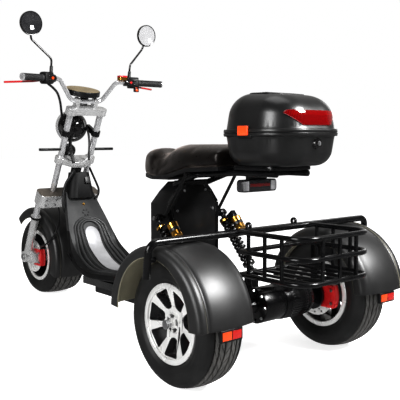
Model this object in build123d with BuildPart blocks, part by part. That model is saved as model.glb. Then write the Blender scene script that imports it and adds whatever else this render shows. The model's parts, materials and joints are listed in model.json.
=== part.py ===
"""A motorized trike: one steered front wheel, two driven rear wheels, a top case and a basket.

The frame is +X forward, +Y left, +Z up, in millimetres. The origin lies on the ground at the
middle of the length and width. Points called rear(...) are measured forward from the rear axle
and up from the ground; points called fork(...) are measured from the front axle: forward of the
fork's line, to the left, and up along the fork.
"""

import os
from math import cos, radians, sin, tan

from build123d import *

os.makedirs("parts", exist_ok=True)

# ------------------------------------------------------------------ driving dimensions
wheelbase = 1700
track = 774
rear_tyre_d = 456
rear_tyre_w = 172
front_tyre_d = 434
front_tyre_w = 210
rim_lip_d = 280
rim_well_d = 254
tyre_shoulder_drop = 7
flange_t = 6
flange_inset = 10
tread_edge = 28
well_t = 5
spoke_t = 40
spoke_inset = 8
hub_out = 4
disc_out = 12
caliper_w = 30
caliper_h = 92
caliper_inner_r = 50
caliper_bridge = 16
hub_d = 70
disc_d = 180
disc_t = 4
pin_gap = 0.05
seat_gap = 0.3
moving_gap = 6

rake = 27
stem_offset = 35
fork_tube_d = 32
fork_tube_spread = 176
leg_d = 44
slider_d = 34
leg_spread = 312
leg_top = 262
boot_h = 14
bridge_low, bridge_high = 345, 418
bridge_front, bridge_back = 31, 60
yoke_t, yoke_wall, yoke_boss_w = 34, 12, 70
riser_ahead, riser_h = 21, 46
lower_yoke_up = 604
upper_yoke_up = 884
stem_d = 30
head_tube_d = 54
spine_d = 44
axle_d = 20
axle_nut_t = 8

bar_d = 22
bar_low_y, bar_high_y, grip_end_y = 86, 165, 401
grip_d, grip_l = 34, 128
mirror_d = 112
mirror_stem_d = 10

fender_w = 252
fender_crown_r = 266
fender_skirt_r = 200
fender_wall = 4
fender_up = 243
front_fender_w = 248
front_fender_crown_r = 275
front_fender_skirt_r = 212

hoop_d = 26
hoop_out = 29
hoop_x = -36
hoop_drop = 118
hoop_peg_down = 58
lug_half_w, lug_d, lug_hole_d, lug_t = 120, 28, 12, 8
basket_reach = 368
basket_half_w = 181
basket_rails = (525, 455, 372)
basket_rail_d = 18
basket_bar_d = 10
basket_corner_r = 70

case_l, case_w = 362, 350
case_corner_r = 130
case_x = -77
case_base_h, case_lid_h = 119, 144
case_lens_h, case_lens_mid = 58, 55
case_wall = 4
case_taper = 9
base_round_r, lid_round_r = 62, 92
band_out, band_h = 9, 12

deck_half_w = 165
deck_t = 22
deck_up = 215
deck_front = 1385
deck_top = 588
deck_rear = 590
rail_half_w, rail_w = 138, 24
seat_rail_half_w = 82
seat_rail_d = 24
seat_rail_up = 728.7
shock_pin_d = 24
shock_half_w = 173
reservoir_d, reservoir_l, reservoir_out = 44, 62, 58
motor_d, motor_l, motor_inset = 140, 149, 146
fender_out = 23
skirt_arch_up = 20
case_lens_half_w = 130
rack_l, rack_w, rack_t, rack_mid = 232, 220, 15.7, -34
tail_lamp_w, tail_lamp_h, tail_lamp_drop = 184, 48, 38
fender_start, fender_sweep = 5, 172
reflector_x = -258
reflector_h = 40
plate_h = 3
plate_half_w = 40

box_front, box_back = 568, 418
box_half_w, box_shoulder_w, box_top_half_w = 122, 86, 48
box_low, box_shoulder_up, box_waist_up = 262, 585, 636
member_w = 20
pan_t = 16

pad_d, pad_t, pad_tilt = 180, 30, 15
horn_d, horn_t = 84, 20
cable_d, bundle_d = 12, 17
hose_d = 9

tube_runs = ((bridge_high, lower_yoke_up - yoke_t / 2),
             (lower_yoke_up + yoke_t / 2, upper_yoke_up - yoke_t / 2))

# ------------------------------------------------------------------ the frame's points
rear_x = (basket_reach - wheelbase - front_tyre_d / 2) / 2
front_x = rear_x + wheelbase
rear_axle = Vector(rear_x, 0, rear_tyre_d / 2)
front_axle = Vector(front_x, 0, front_tyre_d / 2)
fork_up = Vector(-sin(radians(rake)), 0, cos(radians(rake)))
fork_ahead = Vector(cos(radians(rake)), 0, sin(radians(rake)))
left = Vector(0, 1, 0)


def rear(x, y, z):
    """A point measured forward from the rear axle and up from the ground."""
    return Vector(rear_x + x, y, z)


def fork(ahead, y, up):
    """A point measured from the front axle, in the fork's own leaning frame."""
    return front_axle + fork_ahead * ahead + left * y + fork_up * up


fender_mid_y = track / 2 + fender_out
hoop_half_w = fender_mid_y + fender_w / 2 + hoop_out
hoop_up = fender_up + (fender_crown_r**2 - hoop_x**2) ** 0.5 + hoop_d / 2 + seat_gap
basket_front = hoop_x - (((hoop_d + basket_rail_d) / 2 + seat_gap)**2
                         - (basket_rails[0] - hoop_up)**2) ** 0.5
fender_end_up = fender_up + (fender_crown_r - fender_wall) * sin(
    radians(fender_start + fender_sweep))


def fork_plane(up, ahead=0, y=0):
    """The plane across the fork at a height along it: local x ahead, local y left."""
    return Plane(origin=fork(ahead, y, up), x_dir=fork_ahead, z_dir=fork_up)


def side_plane(y, x0=None):
    """The plane facing left at y, its local x ahead and its local y up, zero at the rear axle."""
    start = rear_x if x0 is None else x0
    return Plane(origin=(start, y, 0), x_dir=(1, 0, 0), z_dir=(0, -1, 0))


def radial_plane(centre, angle):
    """The plane holding a wheel's axis, its local y pointing out at an angle up from ahead."""
    turn = radians(angle)
    return Plane(origin=centre, x_dir=(0, 1, 0), z_dir=(sin(turn), 0, -cos(turn)))


def bar(points, radius, bends=0):
    """A round bar along a polyline, each corner an arc of its own radius."""
    with BuildPart() as rod:
        with BuildLine() as path:
            if len(points) == 2:
                Line(*points)
            else:
                FilletPolyline(*points, radius=bends)
        with BuildSketch(Plane(origin=path.line @ 0, z_dir=path.line % 0)):
            Circle(radius)
        sweep(path=path.line)
    return rod.part


def cord(points, diameter):
    """A held cable along its route, each corner an arc as large as its two runs allow."""
    runs = [end - start for start, end in zip(points, points[1:])]
    radii = [0.45 * min(one.length, two.length) / tan(radians(one.get_angle(two) / 2))
             for one, two in zip(runs, runs[1:])]
    print("arcs of a", diameter, "mm cable:", [round(radius) for radius in radii])
    return bar(points, diameter / 2, radii)


def square_bar(start, end, width, height):
    """A straight square bar between two points, its width level."""
    run = end - start
    with BuildPart() as rod:
        with BuildSketch(Plane(origin=start, x_dir=left, z_dir=run)):
            Rectangle(width, height)
        extrude(amount=run.length)
    return rod.part


def save(builder, name):
    """Labels a finished piece and writes it."""
    builder.part.label = name
    export_step(builder.part, f"parts/{name}.step")


# ------------------------------------------------------------------ wheels
def make_tyre(centre, outer_d, width, name):
    """A tyre: bead, bulged sidewalls and a slightly crowned tread."""
    outer_r, half = outer_d / 2, width / 2
    bead_y = half - flange_inset - flange_t - seat_gap
    tread_y = half - tread_edge
    low, lip, edge = rim_well_d / 2, rim_lip_d / 2 + 1, outer_r - tyre_shoulder_drop
    side_r = (edge + lip) / 2
    with BuildPart() as tyre:
        with BuildSketch(radial_plane(centre, 90)):
            with BuildLine():
                Polyline((-bead_y, lip), (-bead_y, low), (bead_y, low), (bead_y, lip))
                ThreePointArc((bead_y, lip), (half, side_r), (tread_y, edge))
                ThreePointArc((tread_y, edge), (0, outer_r), (-tread_y, edge))
                ThreePointArc((-tread_y, edge), (-half, side_r), (-bead_y, lip))
            make_face()
        revolve(axis=Axis(centre, (0, 1, 0)))
    save(tyre, name)


def make_rim(centre, tyre_w, face, spokes, spoke_w, name):
    """A rim: well with two flanges, spokes, hub and brake disc; face is the outer side."""
    flange_y = tyre_w / 2 - flange_inset
    well_r, lip_r, hub_r = rim_well_d / 2 - seat_gap, rim_lip_d / 2, hub_d / 2
    disc_y = disc_inset(tyre_w)
    axis = Axis(centre, (0, 1, 0))
    outer_face = Plane(origin=centre + left * face * (flange_y - spoke_inset), x_dir=(1, 0, 0),
                       z_dir=(0, -face, 0))
    with BuildPart() as rim:
        with BuildSketch(radial_plane(centre, 90)):
            with BuildLine():
                Polyline((-flange_y, well_r - well_t), (-flange_y, lip_r),
                         (flange_t - flange_y, lip_r), (flange_t - flange_y, well_r),
                         (flange_y - flange_t, well_r), (flange_y - flange_t, lip_r),
                         (flange_y, lip_r), (flange_y, well_r - well_t), close=True)
            make_face()
        revolve(axis=axis)
        with BuildSketch(outer_face):
            with PolarLocations(0, spokes):
                with Locations((well_r / 2, 0)):
                    Rectangle(well_r - well_t, spoke_w)
        extrude(amount=spoke_t)
        with BuildSketch(Plane(origin=centre + left * face * (flange_y + hub_out), x_dir=(1, 0, 0),
                               z_dir=(0, -face, 0))):
            Circle(hub_r)
        extrude(amount=flange_y + hub_out + disc_y)
        with BuildSketch(Plane(origin=centre - left * face * (disc_y - disc_t), x_dir=(1, 0, 0),
                               z_dir=(0, -face, 0))):
            Circle(disc_d / 2)
        extrude(amount=disc_t)
        fitted = Cylinder(axle_d / 2 + pin_gap, 3 * tyre_w, rotation=(90, 0, 0),
                          mode=Mode.PRIVATE)
        add(fitted.moved(Location(centre)), mode=Mode.SUBTRACT)
    save(rim, name)


def disc_inset(tyre_w):
    """How far inboard of the wheel's middle the brake disc's inner face lies."""
    return tyre_w / 2 + disc_out


def caliper_body(axle, disc_y):
    """A caliper behind an axle, straddling a disc whose middle lies at disc_y."""
    outer_face = Plane(origin=axle + left * (disc_y + caliper_w / 2), x_dir=(1, 0, 0),
                       z_dir=(0, -1, 0))
    reach = disc_d / 2 + moving_gap + caliper_bridge
    with BuildPart() as body:
        with BuildSketch(outer_face):
            Circle(reach)
            Circle(caliper_inner_r, mode=Mode.SUBTRACT)
            with Locations((-reach / 2 - caliper_inner_r / 2, 0)):
                Rectangle(reach, caliper_h, mode=Mode.INTERSECT)
        extrude(amount=caliper_w)
        with BuildSketch(outer_face.offset(caliper_w / 2 - disc_t / 2 - moving_gap)):
            Circle(disc_d / 2 + moving_gap)
        extrude(amount=disc_t + 2 * moving_gap, mode=Mode.SUBTRACT)
    return body.part


sides = (("left", 1), ("right", -1))
for side_name, side in sides:
    hub = rear_axle + left * side * track / 2
    make_tyre(hub, rear_tyre_d, rear_tyre_w, f"rear_{side_name}_tyre")
    make_rim(hub, rear_tyre_w, side, 7, 34, f"rear_{side_name}_rim")
make_tyre(front_axle, front_tyre_d, front_tyre_w, "front_tyre")
make_rim(front_axle, front_tyre_w, -1, 14, 10, "front_rim")

# ------------------------------------------------------------------ fork and steering
axle_half = leg_spread / 2 + leg_d / 2 + axle_nut_t
caliper_face_y = disc_inset(front_tyre_w) - disc_t / 2 + caliper_w / 2
axle_pin = Cylinder(axle_d / 2, 2 * axle_half, rotation=(90, 0, 0)).moved(Location(front_axle))
with BuildPart() as front_axle_pin:
    add(axle_pin)
    with Locations(front_axle + left * (axle_half - axle_nut_t / 2),
                   front_axle - left * (axle_half - axle_nut_t / 2)):
        Cylinder(axle_d / 2 + 6, axle_nut_t, rotation=(90, 0, 0))
save(front_axle_pin, "front_axle")

with BuildPart() as fork_legs:
    for side in (1, -1):
        y = side * leg_spread / 2
        with BuildSketch(fork_plane(-leg_d / 2, 0, y)):
            Circle(leg_d / 2)
        extrude(amount=leg_top + leg_d / 2)
        with BuildSketch(fork_plane(leg_top - boot_h, 0, y)):
            Circle(leg_d / 2 + 5)
        extrude(amount=boot_h)
        with BuildSketch(fork_plane(leg_top, 0, y)):
            Circle(slider_d / 2)
        extrude(amount=bridge_low - leg_top)
        with Locations(Location(front_axle + left * y)):
            Cylinder(leg_d / 2 + 8, leg_d, rotation=(90, 0, 0))
    with BuildSketch(Plane(origin=front_axle + left * caliper_face_y, x_dir=(1, 0, 0),
                           z_dir=(0, -1, 0))):
        with BuildLine():
            Polyline((-5, 45), (-96, 22), (-96, -26), (-5, -26), close=True)
        make_face()
    extrude(amount=-(leg_spread / 2 - caliper_face_y - 4))
    add(axle_pin, mode=Mode.SUBTRACT)
save(fork_legs, "fork_legs")

with BuildPart() as fork_bridge:
    with BuildSketch(fork_plane(bridge_low)):
        with Locations(((bridge_front - bridge_back) / 2, 0)):
            RectangleRounded(bridge_front + bridge_back, leg_spread + leg_d, 26)
    extrude(amount=bridge_high - bridge_low)
    fillet(fork_bridge.edges().filter_by(Plane.XZ, reverse=True).group_by(
        SortBy.LENGTH)[-1], 4)
save(fork_bridge, "fork_bridge")

with BuildPart() as fork_tubes:
    for y in (-fork_tube_spread / 2, fork_tube_spread / 2):
        for low, high in tube_runs:
            with BuildSketch(fork_plane(low, 0, y)):
                Circle(fork_tube_d / 2)
            extrude(amount=high - low)
save(fork_tubes, "fork_tubes")


def yoke_body(up, reach):
    """A clamp across both upper tubes, its web reaching ahead or, below nought, behind them."""
    clamp_r = fork_tube_d / 2 + yoke_wall
    near = clamp_r * (-1 if reach > 0 else 1)
    half = fork_tube_spread / 2
    with BuildPart() as yoke:
        with BuildSketch(fork_plane(up - yoke_t / 2)):
            with Locations((0, -half), (0, half)):
                Circle(clamp_r)
            with BuildLine():
                Polyline((near * 0.6, half), (reach * 0.4, half), (reach, yoke_boss_w / 2),
                         (reach, -yoke_boss_w / 2), (reach * 0.4, -half), (near * 0.6, -half),
                         close=True)
            make_face()
        extrude(amount=yoke_t)
    return yoke.part


with BuildPart() as lower_yoke:
    add(yoke_body(lower_yoke_up, -stem_offset - stem_d / 2 - yoke_wall))
    with BuildSketch(fork_plane(bridge_high, -stem_offset)):
        Circle(stem_d / 2)
    extrude(amount=lower_yoke_up - bridge_high)
save(lower_yoke, "lower_yoke")

# handlebar
bar_low = fork(riser_ahead, bar_low_y, upper_yoke_up + riser_h)
bar_high = rear(1266, bar_high_y, 1160)
grip_end = rear(1189, grip_end_y, 1153)


def across(point):
    """The same point on the right side."""
    return Vector(point.X, -point.Y, point.Z)


half_bar = [bar_low, bar_high, grip_end]
handlebar_path = [across(p) for p in reversed(half_bar)] + half_bar
bar_body = bar(handlebar_path, bar_d / 2, [45, 60, 60, 45])
with BuildPart() as handlebar:
    add(bar_body)
save(handlebar, "handlebar")

grip_run = (grip_end - bar_high).normalized()
with BuildPart() as grips:
    for place in (lambda p: p, across):
        end, inner = place(grip_end), place(grip_end - grip_run * grip_l)
        with BuildSketch(Plane(origin=inner, z_dir=end - inner)):
            Circle(grip_d / 2)
        extrude(amount=grip_l + 6)
    add(bar_body, mode=Mode.SUBTRACT)
save(grips, "grips")

riser_low = upper_yoke_up + yoke_t / 2
with BuildPart() as upper_yoke:
    add(yoke_body(upper_yoke_up, riser_ahead + 30))
    for y in (-52, 52):
        with BuildSketch(fork_plane(riser_low, riser_ahead, y)):
            RectangleRounded(38, 22, 5)
        extrude(amount=riser_h - yoke_t / 2 + bar_d / 2 + 5)
    add(bar_body, mode=Mode.SUBTRACT)
save(upper_yoke, "upper_yoke")

pod_start = grip_end - grip_run * (grip_l + 4)
with BuildPart() as switch_pods:
    for place in (lambda p: p, across):
        end, inner = place(pod_start), place(pod_start - grip_run * 52)
        with BuildSketch(Plane(origin=inner, x_dir=(0, 0, 1), z_dir=end - inner)):
            RectangleRounded(58, 46, 14)
        extrude(amount=52)
    add(bar_body, mode=Mode.SUBTRACT)
save(switch_pods, "switch_pods")

lever_root = pod_start - grip_run * 58
lever_bars = [
    bar([place(lever_root + Vector(22, 0, -4)), place(rear(1290, 300, 1143)),
         place(rear(1324, 432, 1135))], 5, 60)
    for place in (lambda p: p, across)]
with BuildPart() as brake_levers:
    for place in (lambda p: p, across):
        root = place(lever_root)
        with BuildSketch(Plane(origin=root, x_dir=(0, 0, 1), z_dir=root - place(bar_high))):
            Circle(bar_d / 2 + 8)
        extrude(amount=-18)
    add(bar_body, mode=Mode.SUBTRACT)
    for lever in lever_bars:
        add(lever)
save(brake_levers, "brake_levers")

with BuildPart() as brake_reservoir:
    with BuildSketch(Plane(origin=rear(1254, -196, 1160 + bar_d / 2 - 2), x_dir=(0, 1, 0),
                           z_dir=(0, 0, 1))):
        RectangleRounded(48, 38, 10)
    extrude(amount=24)
    add(bar_body, mode=Mode.SUBTRACT)
    add(brake_levers.part, mode=Mode.SUBTRACT)
    add(switch_pods.part, mode=Mode.SUBTRACT)
save(brake_reservoir, "brake_reservoir")

mirror_centre = rear(1219, 333, 1408)
stem_points = [rear(1239, 227, 1186), rear(1228, 228, 1249), rear(1251, 322, 1339),
               rear(1231, 333, 1395)]
mirror_stems = [bar([place(p) for p in stem_points], mirror_stem_d / 2, [30, 20])
                for place in (lambda p: p, across)]
with BuildPart() as mirrors:
    for k in (0, 1):
        place = (lambda p: p, across)[k]
        with BuildSketch(Plane(origin=place(mirror_centre), z_dir=(1, 0, 0.08))):
            Circle(mirror_d / 2)
        extrude(amount=12)
        add(mirror_stems[k])
    add(bar_body, mode=Mode.SUBTRACT)
    add(switch_pods.part, mode=Mode.SUBTRACT)
save(mirrors, "mirrors")

lamp_centre = fork(80, 0, 760)
with BuildPart() as headlamp:
    with BuildSketch(Plane(origin=lamp_centre, x_dir=(0, 0, 1), z_dir=(0, 1, 0))):
        with BuildLine():
            Polyline((82.5, 26), (82.5, 50), (74, 58), (0, 58), (0, -52))
            ThreePointArc((0, -52), (62, -26), (82.5, 26))
        make_face()
    revolve(axis=Axis(lamp_centre, (1, 0, 0)))
save(headlamp, "headlamp")

with BuildPart() as lamp_brackets:
    for side in (1, -1):
        with BuildSketch(fork_plane(745, 40, side * 80)):
            Rectangle(70, 16)
        extrude(amount=30)
        with BuildSketch(fork_plane(745, 0, side * fork_tube_spread / 2)):
            Circle(fork_tube_d / 2 + 7)
            Circle(fork_tube_d / 2, mode=Mode.SUBTRACT)
        extrude(amount=30)
    add(headlamp.part, mode=Mode.SUBTRACT)
    add(fork_tubes.part, mode=Mode.SUBTRACT)
save(lamp_brackets, "lamp_brackets")

pad_centre = rear(1332, 0, 1106)
pad_up = Vector(-sin(radians(pad_tilt)), 0, cos(radians(pad_tilt)))
with BuildPart() as dash_pad:
    with BuildSketch(Plane(origin=pad_centre - pad_up * pad_t / 2, x_dir=left, z_dir=pad_up)):
        Circle(pad_d / 2)
    extrude(amount=pad_t)
    fillet(dash_pad.edges(), 6)
    with BuildSketch(fork_plane(upper_yoke_up + yoke_t / 2, 46)):
        Rectangle(20, 40)
    extrude(amount=60)
save(dash_pad, "dash_pad")

horn_back = fork(40, 22, 628)
with BuildPart() as horn:
    with BuildSketch(Plane(origin=horn_back, x_dir=left, z_dir=fork_ahead)):
        Circle(horn_d / 2)
    extrude(amount=horn_t)
    fillet(horn.edges(), 4)
    with BuildSketch(fork_plane(lower_yoke_up + yoke_t / 2, 20, 22)):
        Rectangle(48, 18)
    extrude(amount=4)
save(horn, "horn")

with BuildPart() as indicators:
    for side in (1, -1):
        with BuildSketch(Plane(origin=fork(0, side * (fork_tube_spread + fork_tube_d) / 2, 665),
                               x_dir=(1, 0, 0), z_dir=(0, side, 0))):
            RectangleRounded(26, 14, 5)
        extrude(amount=112)
save(indicators, "indicators")


def fender_band(half, crown_r, skirt_r, both):
    """The open outline of a fender's section: skirt, shoulder bead, crown, inner edge."""
    Line((half, skirt_r), (half, crown_r - 30))
    ThreePointArc((half, crown_r - 30), (half - 6, crown_r - 13), (half - 22, crown_r - 6))
    Line((half - 22, crown_r - 6), (half - 30, crown_r - 6))
    ThreePointArc((half - 30, crown_r - 6), (half - 38, crown_r - 10), (half - 46, crown_r - 7))
    if both:
        ThreePointArc((half - 46, crown_r - 7), (0, crown_r), (46 - half, crown_r - 7))
        ThreePointArc((46 - half, crown_r - 7), (38 - half, crown_r - 10),
                      (30 - half, crown_r - 6))
        Line((30 - half, crown_r - 6), (22 - half, crown_r - 6))
        ThreePointArc((22 - half, crown_r - 6), (6 - half, crown_r - 13), (-half, crown_r - 30))
        Line((-half, crown_r - 30), (-half, skirt_r))
    else:
        ThreePointArc((half - 46, crown_r - 7), (0, crown_r), (36 - half, crown_r - 12))
        ThreePointArc((36 - half, crown_r - 12), (10 - half, crown_r - 23),
                      (-half, crown_r - 44))
        Line((-half, crown_r - 44), (-half, skirt_r))


with BuildPart() as front_fender:
    with BuildSketch(radial_plane(front_axle, 50)):
        with BuildLine():
            fender_band(front_fender_w / 2, front_fender_crown_r, front_fender_skirt_r, True)
            offset(amount=fender_wall, side=Side.LEFT)
        make_face()
    revolve(axis=Axis(front_axle, (0, -1, 0)), revolution_arc=150)
    for side in (1, -1):
        bracket_in, bracket_out = front_fender_w / 2 - 2, leg_spread / 2 - leg_d / 2 - seat_gap
        with BuildSketch(fork_plane(leg_top - 60, -6, side * (bracket_in + bracket_out) / 2)):
            Rectangle(40, bracket_out - bracket_in)
        extrude(amount=20)
save(front_fender, "front_fender")

with BuildPart() as front_caliper:
    add(caliper_body(front_axle, disc_inset(front_tyre_w) - disc_t / 2))
save(front_caliper, "front_caliper")

# ------------------------------------------------------------------ frame
head_low, head_high = bridge_high + moving_gap, lower_yoke_up - yoke_t / 2 - moving_gap
gooseneck = fork(-stem_offset - head_tube_d / 2, 0, head_low + 46)
spine_body = bar([gooseneck, rear(1374, 0, 430), rear(1222, 0, 172), rear(1090, 0, 166)],
                 spine_d / 2, [90, 60])
rail_up = 176
seat_rails = [bar([rear(-140, y, seat_rail_up), rear(60, y, seat_rail_up),
                   rear(306, y, seat_rail_up - 16), rear(450, y, seat_rail_up - 61)],
                  seat_rail_d / 2, [120, 60]) for y in (-seat_rail_half_w, seat_rail_half_w)]
shock_top, shock_low = rear(443, 0, 533), rear(240, 0, 293)
strut_head = rear(305, 0, seat_rail_up - 13)
member_x = box_back + member_w / 2
box_top_up = seat_rail_up - 53
member_line = [(box_half_w, rail_up), (box_half_w, box_shoulder_up), (box_shoulder_w, box_waist_up),
               (box_top_half_w, box_top_up)]
member_bars = [square_bar(rear(member_x, side * y1, up1), rear(member_x, side * y2, up2),
                          member_w, member_w)
               for side in (1, -1)
               for (y1, up1), (y2, up2) in zip(member_line, member_line[1:])]
strut_bars = [bar([strut_head + left * side * 136, shock_top + left * side * 143], 7)
              for side in (1, -1)]
with BuildPart() as main_frame:
    with BuildSketch(fork_plane(head_low, -stem_offset)):
        Circle(head_tube_d / 2)
    extrude(amount=head_high - head_low)
    add(spine_body)
    with Locations(Location(rear(1085, 0, rail_up)), Location(rear(345, 0, rail_up))):
        Box(40, 2 * rail_half_w, 34)
    with Locations(Location(rear(715, rail_half_w, rail_up)),
                   Location(rear(715, -rail_half_w, rail_up))):
        Box(780, rail_w, 34)
    for member in member_bars:
        add(member)
    with Locations(Location(rear(member_x, 0, rail_up))):
        Box(30, 2 * rail_half_w, 30)
    with Locations(Location(rear(member_x, 0, box_top_up))):
        Box(member_w, 2 * seat_rail_half_w + seat_rail_d, member_w)
    with Locations(Location(shock_top)):
        Cylinder(shock_pin_d / 2, 2 * (shock_half_w + 18), rotation=(90, 0, 0))
    for rod in seat_rails + strut_bars:
        add(rod)
    with Locations(Location(strut_head)):
        Box(16, 2 * 140, 16)
    with Locations(Location(rear(-60, 0, seat_rail_up))):
        Box(20, 2 * seat_rail_half_w, 20)
    with BuildSketch(fork_plane(head_low, -stem_offset)):
        Circle(stem_d / 2 + pin_gap)
    extrude(amount=head_high - head_low, mode=Mode.SUBTRACT)
save(main_frame, "main_frame")

# ------------------------------------------------------------------ deck and its boxes
deck_line = [(deck_front, deck_top), (1225, deck_up + 95), (1090, deck_up),
             (deck_rear, deck_up + 37)]


deck_cut = [(0, deck_top + 40), (70, deck_top + 40), (84, 573), (98, 513), (114, 450), (130, 378),
            (146, 317), (deck_half_w, 250), (deck_half_w, 80), (0, 80)]
front_view = Plane(origin=(rear_x, 0, 0), x_dir=(0, 1, 0), z_dir=(1, 0, 0))


def deck_shape(thick, half_w):
    """A slab on the deck's curve: below it as far as a negative thickness, or above it."""
    with BuildPart() as slab:
        with BuildSketch(side_plane(half_w)):
            with BuildLine():
                FilletPolyline(*deck_line, radius=[150, 260])
                offset(amount=abs(thick), side=Side.LEFT if thick < 0 else Side.RIGHT)
            make_face()
        extrude(amount=2 * half_w)
    return slab.part


with BuildPart() as foot_deck:
    add(deck_shape(-deck_t, deck_half_w))
    with BuildSketch(front_view):
        with BuildLine():
            Polyline(*deck_cut, close=True)
        make_face()
        mirror(about=Plane.YZ)
    extrude(amount=deck_front + 100, mode=Mode.INTERSECT)
    add(main_frame.part, mode=Mode.SUBTRACT)
save(foot_deck, "foot_deck")

with BuildPart() as tread_plate:
    add(deck_shape(plate_h, plate_half_w))
    with BuildSketch(front_view):
        with Locations((0, 200)):
            RectangleRounded(2 * plate_half_w, 420, plate_half_w - 1)
    extrude(amount=deck_front + 100, mode=Mode.INTERSECT)
save(tread_plate, "tread_plate")

with BuildPart() as battery_box:
    with BuildSketch(Plane.XY.offset(122)):
        with Locations((rear_x + 850, 0)):
            RectangleRounded(390, 2 * (rail_half_w - rail_w / 2 - seat_gap), 18)
    extrude(amount=76)
save(battery_box, "battery_box")

with BuildPart() as neck_cowl:
    with BuildSketch(Plane(origin=rear(1383, 0, 556), x_dir=(0, 1, 0), z_dir=(0, 0, 1))):
        RectangleRounded(156, 96, 40)
    with BuildSketch(Plane(origin=rear(1388, 0, 688), x_dir=(0, 1, 0), z_dir=(0, 0, 1))):
        RectangleRounded(104, 76, 30)
    loft()
    add(main_frame.part, mode=Mode.SUBTRACT)
    with BuildSketch(fork_plane(head_low - 50, -stem_offset)):
        Circle(head_tube_d / 2)
    extrude(amount=head_high - head_low + 100, mode=Mode.SUBTRACT)
    add(foot_deck.part, mode=Mode.SUBTRACT)
save(neck_cowl, "neck_cowl")

with BuildPart() as ignition_switch:
    with BuildSketch(Plane(origin=rear(1372, -26, 640), x_dir=(0, 1, 0), z_dir=(-1, 0, 0.25))):
        RectangleRounded(30, 36, 6)
    extrude(amount=36)
    add(neck_cowl.part, mode=Mode.SUBTRACT)
save(ignition_switch, "ignition_switch")

box_side = [(box_back, box_low), (box_back, box_top_up), (box_front - 25, box_top_up),
            (box_front, box_shoulder_up), (box_front + 4, box_low)]
box_outline = [(box_half_w, box_low), (box_half_w, box_shoulder_up),
               (box_shoulder_w, box_waist_up), (box_top_half_w, box_top_up)]
with BuildPart() as seat_box:
    with BuildSketch(front_view):
        with BuildLine():
            Polyline(*box_outline, *[(-y, up) for y, up in reversed(box_outline)], close=True)
        make_face()
    extrude(amount=box_front + 100)
    with BuildSketch(side_plane(box_half_w)):
        with BuildLine():
            Polyline(*box_side, close=True)
        make_face()
    extrude(amount=2 * box_half_w, mode=Mode.INTERSECT)
    add(main_frame.part, mode=Mode.SUBTRACT)
save(seat_box, "seat_box")

# ------------------------------------------------------------------ seat, rack and case
seat_base = [(118, 23), (313, 13), (460, -33), (588, -39), (735, -48)]
seat_top = [(768, -17), (770, 46), (716, 86), (640, 89), (516, 76), (380, 102), (205, 102), (118, 97)]
plan_line = [(118, 138), (330, 136), (470, 120), (620, 104), (700, 80)]
seat_nose = 762


def seat_plan(inset):
    """The seat's outline from above, drawn in by an inset, its nose one arc."""
    sides_line = [(x - inset, y - inset) for x, y in plan_line]
    across_line = [(x, -y) for x, y in sides_line]
    Polyline(*sides_line)
    ThreePointArc(sides_line[-1], (seat_nose - inset, 0), across_line[-1])
    Polyline(*reversed(across_line), sides_line[0])


def seat_layer(profile, inset):
    """A layer of the seat: its side profile above the seat rails, cut to the plan's outline."""
    with BuildPart() as layer:
        with BuildSketch(side_plane(plan_line[0][1])):
            with BuildLine():
                Polyline(*[(x, seat_rail_up + up) for x, up in profile], close=True)
            make_face()
        extrude(amount=2 * plan_line[0][1])
        with BuildSketch(Plane(origin=(rear_x, 0, seat_rail_up - 100), x_dir=(1, 0, 0),
                               z_dir=(0, 0, 1))):
            with BuildLine():
                seat_plan(inset)
            make_face()
        extrude(amount=300, mode=Mode.INTERSECT)
    return layer.part


with BuildPart() as seat:
    add(seat_layer(seat_base + seat_top, 0))
save(seat, "seat")

pan_top = [(x, up - seat_gap) for x, up in seat_base]
with BuildPart() as seat_pan:
    add(seat_layer(pan_top + [(x, up - pan_t) for x, up in reversed(pan_top)], 4))
    add(main_frame.part, mode=Mode.SUBTRACT)
    add(seat_box.part, mode=Mode.SUBTRACT)
save(seat_pan, "seat_pan")

rack_low = seat_rail_up + seat_rail_d / 2 + seat_gap
tail_lamp_up = rack_low - tail_lamp_drop - tail_lamp_h / 2
case_floor = rack_low + rack_t + seat_gap
case_split = case_floor + case_base_h
with BuildPart() as rear_rack:
    with BuildSketch(Plane(origin=rear(rack_mid, 0, rack_low), x_dir=(1, 0, 0), z_dir=(0, 0, 1))):
        RectangleRounded(rack_l, rack_w, 40)
    extrude(amount=rack_t)
    with Locations(Location(rear(46, 0, rack_low - tail_lamp_drop / 2))):
        Box(16, 100, tail_lamp_drop)
    add(main_frame.part, mode=Mode.SUBTRACT)
save(rear_rack, "rear_rack")

with BuildPart() as tail_lamp:
    with BuildSketch(Plane(origin=rear(60, 0, tail_lamp_up), x_dir=(0, 1, 0), z_dir=(-1, 0, 0))):
        RectangleRounded(tail_lamp_w, tail_lamp_h, 14)
    extrude(amount=34)
save(tail_lamp, "tail_lamp")

case_centre = rear(case_x, 0, case_split)
case_halves = (("case_base", -1, case_base_h, base_round_r),
               ("case_lid", 1, case_lid_h - seat_gap, lid_round_r))


def case_form(start, facing, height, round_r, inset):
    """A solid half of the case, tapered away from the split and rounded at its far edge."""
    with BuildPart() as form:
        with BuildSketch(Plane(origin=start, x_dir=(1, 0, 0), z_dir=(0, 0, facing))):
            RectangleRounded(case_l - 2 * inset, case_w - 2 * inset, case_corner_r - inset)
        extrude(amount=height - inset, taper=case_taper)
        far_face = form.faces().sort_by(Axis.Z)[-1 if facing > 0 else 0]
        fillet(far_face.edges(), round_r - inset)
    return form.part


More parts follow.
